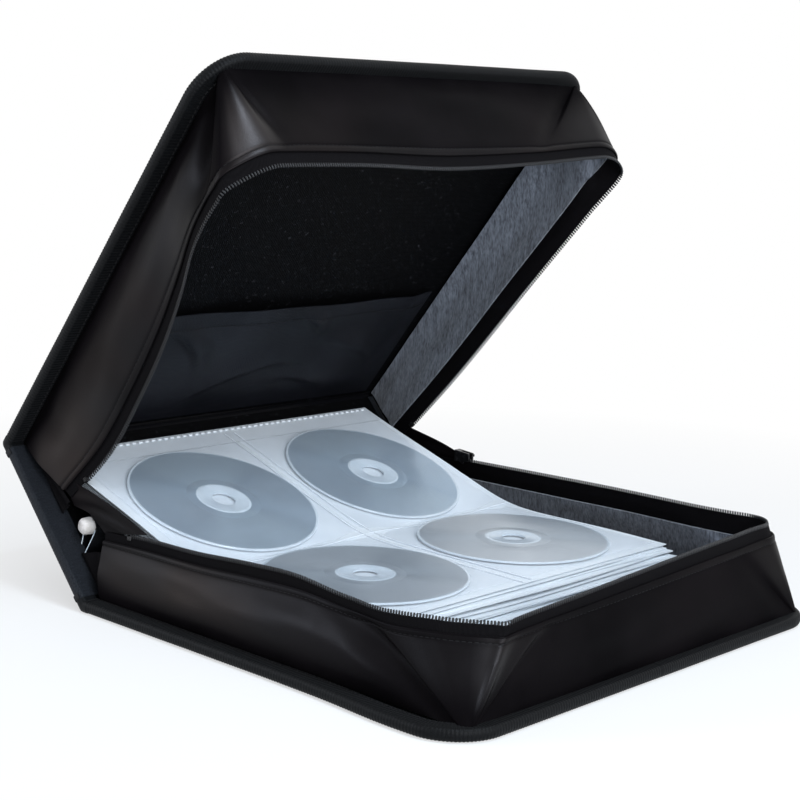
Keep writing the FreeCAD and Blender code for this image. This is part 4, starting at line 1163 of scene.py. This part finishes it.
LEAF_LOW, LEAF_HIGH = node_box("leaf_sheet")
LEAF_SIDES = (LEAF_LOW[0], LEAF_HIGH[0])
SEAM_X = sum(LEAF_SIDES) / 2
DISC_BOXES = {number: node_box(f"disc_{number}") for number in (1, 2, 3, 4)}
DISC_CENTRES = {number: (low + high) / 2 for number, (low, high) in DISC_BOXES.items()}
BEND_Y = (DISC_BOXES[1][0][1] + DISC_BOXES[3][1][1]) / 2 + 0.3
LEAF_THICK = 0.45
LEAF_FRONT = (LEAF_LOW[1], LEAF_LOW[2])
LEAF_BEND = (BEND_Y, LEAF_LOW[2] + 1.1)
LEAF_BOUND = (LEAF_HIGH[1], LEAF_HIGH[2] - 0.8)
BUNDLES = 5
LEAVES = 7
BUNDLE_THICK = 5.26
BUNDLE_STEP = node_box("sleeves_2")[0][2] - node_box("sleeves_1")[0][2]
BEND_SOFT = 5.0
SLEEVE_THICK = 0.8
# How far the sleeves end inside their bundle's sides
SLEEVE_INSET = (3.5, 2)


def slopes(front, bend, bound):
    """Slope of a sheet before and after its bend; its three points are (y, z)."""
    return (bend[1] - front[1]) / (bend[0] - front[0]), (bound[1] - bend[1]) / (bound[0] - bend[0])


def bent(y, front, bend, bound, softness):
    """Level of a sheet that lies flat and then rises to its bound edge."""
    first, second = slopes(front, bend, bound)
    past = softness * np.logaddexp(0, (y - bend[0]) / softness)
    return bend[1] + first * (y - bend[0]) + (second - first) * past


def bundle_leaf(bundle, leaf):
    """One sleeve of a bundle: slightly askew, its front edge lifting or drooping."""
    low, high = node_box(f"sleeves_{bundle}")
    top = bundle == BUNDLES
    next_front = LEAF_LOW[1] if top else node_box(f"sleeves_{bundle + 1}")[0][1]
    share = leaf / (LEAVES - 1)
    phase = 2.4 * bundle + 1.7 * leaf
    front = low[1] + (next_front - low[1]) * 0.82 * share + 3.0 * math.sin(phase)
    level = low[2] + 0.05 + ((BUNDLE_THICK if top else BUNDLE_STEP) - SLEEVE_THICK) * share
    bound = (high[1] - 0.4, high[2] - BUNDLE_THICK + (BUNDLE_THICK - 0.6) * share)
    side_shift = 0.9 * math.sin(phase * 1.7 + 0.5)
    x = np.linspace(low[0] + SLEEVE_INSET[0] + side_shift, high[0] - SLEEVE_INSET[1] + side_shift, 25)[None]
    start = front + 0.024 * math.sin(phase * 0.9) * (x - SEAM_X) + 1.7 * np.sin(x / 41 + phase)
    y = start + (bound[0] - start) * np.linspace(0, 1, 44)[:, None] ** 1.15
    lift = 0.2 + 0.28 * np.sin(x / 33 + phase * 2)
    droop = np.clip(1 - (y - start) / 26, 0, 1) ** 2 * lift
    z = bent(y, (front, level), (BEND_Y, level), bound, BEND_SOFT) + droop
    grid = np.stack([np.broadcast_to(x, y.shape), y, z], -1)
    name = f"sleeves_{bundle}_leaf_{leaf + 1}"
    obj = cloth(name, grid, SLEEVE_THICK, SLEEVE, f"sleeve_bundle_{bundle}")
    if leaf == 0:
        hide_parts(f"sleeves_{bundle}")
    return name


top_sleeve = "base_lining"
for bundle_number in range(1, BUNDLES + 1):
    for leaf_number in range(LEAVES):
        top_sleeve = bundle_leaf(bundle_number, leaf_number)


def leaf_top(x, y):
    """Level of the top leaf's underside: it bends sharply under the discs and softly between them."""
    from_disc = np.minimum(np.abs(x - DISC_CENTRES[1][0]), np.abs(x - DISC_CENTRES[2][0]))
    z = bent(y, LEAF_FRONT, LEAF_BEND, LEAF_BOUND, 1.5 + 8 * smooth(from_disc, 22, 62))
    free = 1 - smooth(np.minimum(x - LEAF_SIDES[0], LEAF_SIDES[1] - x), 0, 7)
    return z + free * (0.25 + 0.35 * np.sin(y / 21 + x / 15))


def leaf_normal(y):
    """Upward normal of the top leaf."""
    front_slope, rear_slope = slopes(LEAF_FRONT, LEAF_BEND, LEAF_BOUND)
    return unit(np.array([0, -(rear_slope if y > LEAF_BEND[0] else front_slope), 1]))


DOT_PITCH = 5.2
DOT = (1.5, 1.1, 0.6)
SEAM_PITCH = 1.6
SEAM_MARK = (1.0, 0.55, 0.35)
SEAM_OFFSET = 4.2


def weld_marks(name, spots, size, sides):
    """Small welds on the top leaf at (x, y), each along x or up the slope."""
    places, axes = [], []
    for x, y, along_x in spots:
        normal = leaf_normal(y)
        slope = np.cross(normal, X_AXIS)
        places.append(np.array([x, y, leaf_top(x, y) + LEAF_THICK]) + normal * 0.12)
        axes.append(np.stack([X_AXIS, slope, normal] if along_x else [slope, X_AXIS, normal]))
    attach(repeat(name, pill(*size, sides), places, axes, WELD), "leaf")


def top_leaf():
    """Backing of the top leaf with its welded seams and the dots along its bound edge."""
    x, y = np.meshgrid(np.linspace(*LEAF_SIDES, 61), np.linspace(LEAF_LOW[1], LEAF_HIGH[1] - 0.3, 121))
    grid = np.stack([x, y, leaf_top(x, y)], -1)
    cloth("leaf_sheet", grid, LEAF_THICK, SLEEVE, "leaf")
    dot_y = LEAF_HIGH[1] - 3.4
    dots = [(dot_x, dot_y, True) for dot_x in np.arange(LEAF_SIDES[0] + 3, LEAF_SIDES[1] - 2, DOT_PITCH)]
    weld_marks("leaf_weld_dots", dots, DOT, 8)
    long_y = np.arange(LEAF_LOW[1] + 2, LEAF_HIGH[1] - 8, SEAM_PITCH)
    long_x = (SEAM_X - SEAM_OFFSET, SEAM_X + SEAM_OFFSET)
    long_seam = [(mark_x, mark_y, False) for mark_y in long_y for mark_x in long_x]
    cross_x = np.arange(LEAF_SIDES[0] + 4, LEAF_SIDES[1] - 4, SEAM_PITCH)
    cross_seam = [(mark_x, LEAF_BEND[0] - 2.0, True) for mark_x in cross_x]
    weld_marks("leaf_weld_seams", long_seam + cross_seam, SEAM_MARK, 5)


FILM_WIDTH, FILM_LENGTH = 129.0, 123.5
FILM_THICK = 0.08
DISC_RADIUS = (DISC_BOXES[3][1][0] - DISC_BOXES[3][0][0]) / 2
DISC_HALF = 0.6
HUB_RADIUS = 17.5
DISC_SIDES = 144
# Half section of a disc, radius and level: clear hub with its stacking ring, mirror, clear rim and back
HUB_PROFILE = ((7.5, -0.6), (7.5, 0.5), (7.7, 0.6), (15.2, 0.6), (15.7, 0.75), (16.6, 0.75), (17.1, 0.6))
MIRROR_PROFILE = (
    (HUB_RADIUS, 0.6), (HUB_RADIUS + 0.4, 0.58), (23, 0.58),
    (23.3, 0.52), (23.9, 0.52), (24.2, 0.58), (40, 0.58),
)
RIM_PROFILE = ((58.5, 0.58), (59.7, 0.6), (DISC_RADIUS, 0.4), (DISC_RADIUS, -0.4))
BACK_PROFILE = ((59.7, -0.6), (30, -0.6))


def disc(number):
    """Plain silver disc with a clear hub and rim, in its own axes, under its film."""
    centre = DISC_CENTRES[number]
    normal = leaf_normal(centre[1])
    up_slope = np.cross(normal, X_AXIS)
    parts = (HUB_PROFILE, MIRROR_PROFILE, RIM_PROFILE, BACK_PROFILE)
    radius, level = np.concatenate(parts).T
    turn = 2 * math.pi * np.arange(DISC_SIDES)[:, None] / DISC_SIDES
    x, y = np.cos(turn) * radius, np.sin(turn) * radius
    points = np.stack([x, y, np.broadcast_to(level, x.shape)], -1)
    # The two rear discs take the silver with painted shade
    silver = REAR_SILVER_PAINTED_SHADE if number in (1, 2) else FRONT_SILVER
    obj = mesh_object(f"disc_{number}", points, quads(*x.shape, (True, True)), silver, sharp=30)
    obj.data.materials.append(CLEAR)
    clear = np.concatenate([np.full(len(part), part in (HUB_PROFILE, RIM_PROFILE)) for part in parts])
    obj.data.polygons.foreach_set("material_index", np.tile(clear.astype(int), DISC_SIDES))
    obj.matrix_world = axes_matrix(X_AXIS, up_slope, normal, centre)
    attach(obj, "leaf")
    pocket_film(number, centre, up_slope, normal)


def pocket_film(number, centre, up_slope, normal):
    """Clear film welded on three sides, drawn tight over its disc."""
    share = np.linspace(-0.5, 0.5, 57)
    a, b = np.meshgrid(share * FILM_WIDTH, share * FILM_LENGTH)
    radius = np.hypot(a, b)
    edge = np.minimum(FILM_WIDTH / 2 - np.abs(a), FILM_LENGTH / 2 - np.abs(b))
    over = 1 - smooth(radius, DISC_RADIUS - 0.5, DISC_RADIUS + 14)
    dip = 0.10 * (1 - smooth(radius, 5, 9))
    pull = 0.12 * np.sin(np.arctan2(b, a) * 16 + number) * smooth(radius, DISC_RADIUS + 2, DISC_RADIUS + 12)
    height = smooth(edge, -0.5, 3.0) * (0.25 + 1.35 * over + pull) - dip - DISC_HALF + 0.15
    grid = centre + a[..., None] * X_AXIS + b[..., None] * up_slope + height[..., None] * normal
    obj = cloth(f"leaf_pocket_{number}", grid, FILM_THICK, FILM, "leaf")
    if number == 1:
        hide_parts("leaf_pockets")


def bound_strip():
    """Clear strip of the top leaf between its pockets and its bound edge."""
    rear = DISC_CENTRES[1][1] + FILM_LENGTH / 2 * leaf_normal(LEAF_HIGH[1])[2]
    x = np.linspace(LEAF_SIDES[0] + 1, LEAF_SIDES[1] - 1, 81)
    x, y = np.meshgrid(x, np.linspace(rear, LEAF_HIGH[1] - 0.8, 9))
    grid = np.stack([x, y, leaf_top(x, y) + LEAF_THICK + 0.12], -1)
    cloth("leaf_bound_strip", grid, FILM_THICK, FILM, "leaf")


top_leaf()
bound_strip()
for disc_number in DISC_CENTRES:
    disc(disc_number)

# Materials of the CAD nodes that are shown as they are

for node, (material, _) in zip(KEPT_NODES, (ROD, METAL, METAL, LINING, LINING, LINING)):
    materials = frame["nodes"][node].data.materials
    materials.clear()
    materials.append(material)

# Floor, light and camera

FLOOR_REACH, FLOOR_LEVEL = 4.0, -0.0006
TARGET = np.array([0, 60.0, 110.0])
CAMERA_PLACE = np.array([-777.45, -663.4, 305.45])
CAMERA_AZIMUTH, CAMERA_ELEVATION, CAMERA_ROLL = np.radians([-47.33, 9.72, 2.17])
CAMERA_LENS, CAMERA_SENSOR = 79.19, 36.0


def white_rays(nodes):
    """Is 1 for the rays that see the white background: from the camera, from a gloss or through glass."""
    rays = nodes.node("LightPath").outputs
    seen = nodes.math("MAXIMUM", rays["Is Camera Ray"], rays["Is Glossy Ray"])
    return nodes.math("MAXIMUM", seen, rays["Is Transmission Ray"])


def plain_floor():
    """Pale floor that shows white to the camera and keeps the object's shadow."""
    mesh = bpy.data.meshes.new("floor")
    signs = ((-1, -1), (1, -1), (1, 1), (-1, 1))
    corners = [(x * FLOOR_REACH, y * FLOOR_REACH, FLOOR_LEVEL) for x, y in signs]
    mesh.from_pydata(corners, [], [(0, 1, 2, 3)])
    f = Finish("floor", (0.85, 0.85, 0.85), 0.9, specular=0.1)
    place = f.node("NewGeometry").outputs["Position"]
    far = f.node("VectorMath", {0: place}, operation="LENGTH").outputs["Value"]
    span = {"From Min": 0.15, "From Max": 0.75, "To Min": 0.5, "To Max": 1.0}
    fade = f.node("MapRange", {"Value": far, **span}).outputs["Result"]
    share = f.math("MULTIPLY", fade, white_rays(f))
    surface = f.mix(share, f.bsdf.outputs[0], f.node("Emission").outputs[0])
    f.put(f.tree.nodes["Material Output"], {"Surface": surface})
    mesh.materials.append(f.material)
    add_object("floor", mesh)


def studio_world():
    """White background for the camera, and an even grey light for the object."""
    world = bpy.data.worlds.new("studio")
    bpy.context.scene.world = world
    world.use_nodes = True
    world.node_tree.nodes.clear()
    nodes = Nodes(world.node_tree)
    ambient = nodes.node("Background", {"Color": (0.88, 0.94, 1.0, 1), "Strength": 0.33}).outputs[0]
    white = nodes.node("Background", {"Color": (1, 1, 1, 1), "Strength": 1.0}).outputs[0]
    nodes.node("OutputWorld", {"Surface": nodes.mix(white_rays(nodes), ambient, white)})


def soft_lamp(name, place, size, power, colour):
    """Square area lamp that looks at the object."""
    lamp = bpy.data.lights.new(name, "AREA")
    lamp.shape, lamp.size, lamp.energy, lamp.color = "SQUARE", size * MM, power, colour
    back = unit(np.array(place) - TARGET)
    right = unit(np.cross([0, 0, 1.0], back))
    add_object(name, lamp).matrix_world = axes_matrix(right, np.cross(back, right), back, place)


def photo_camera():
    """Camera at the photograph's place."""
    level = math.cos(CAMERA_ELEVATION)
    right = np.array([math.cos(CAMERA_AZIMUTH), math.sin(CAMERA_AZIMUTH), 0])
    back = np.array([right[1] * level, -right[0] * level, math.sin(CAMERA_ELEVATION)])
    up = np.cross(back, right)
    turned_right = math.cos(CAMERA_ROLL) * right + math.sin(CAMERA_ROLL) * up
    turned_up = math.cos(CAMERA_ROLL) * up - math.sin(CAMERA_ROLL) * right
    camera = bpy.data.cameras.new("photo_camera")
    camera.lens, camera.sensor_width, camera.sensor_fit = CAMERA_LENS, CAMERA_SENSOR, "HORIZONTAL"
    obj = add_object("photo_camera", camera)
    obj.matrix_world = axes_matrix(turned_right, turned_up, back, CAMERA_PLACE)
    bpy.context.scene.camera = obj


plain_floor()
studio_world()
soft_lamp("window", (-1250, 800, 500), 450, 9, (0.84, 0.90, 1.0))
soft_lamp("sky", (-150, -800, 1350), 400, 13, (0.72, 0.86, 1.0))
soft_lamp("front", (-450, -1500, 480), 1400, 36, (0.90, 0.95, 1.0))
soft_lamp("top", (100, -250, 1900), 1500, 5, (0.95, 0.98, 1.0))
photo_camera()
bpy.context.scene.view_settings.view_transform = "Standard"
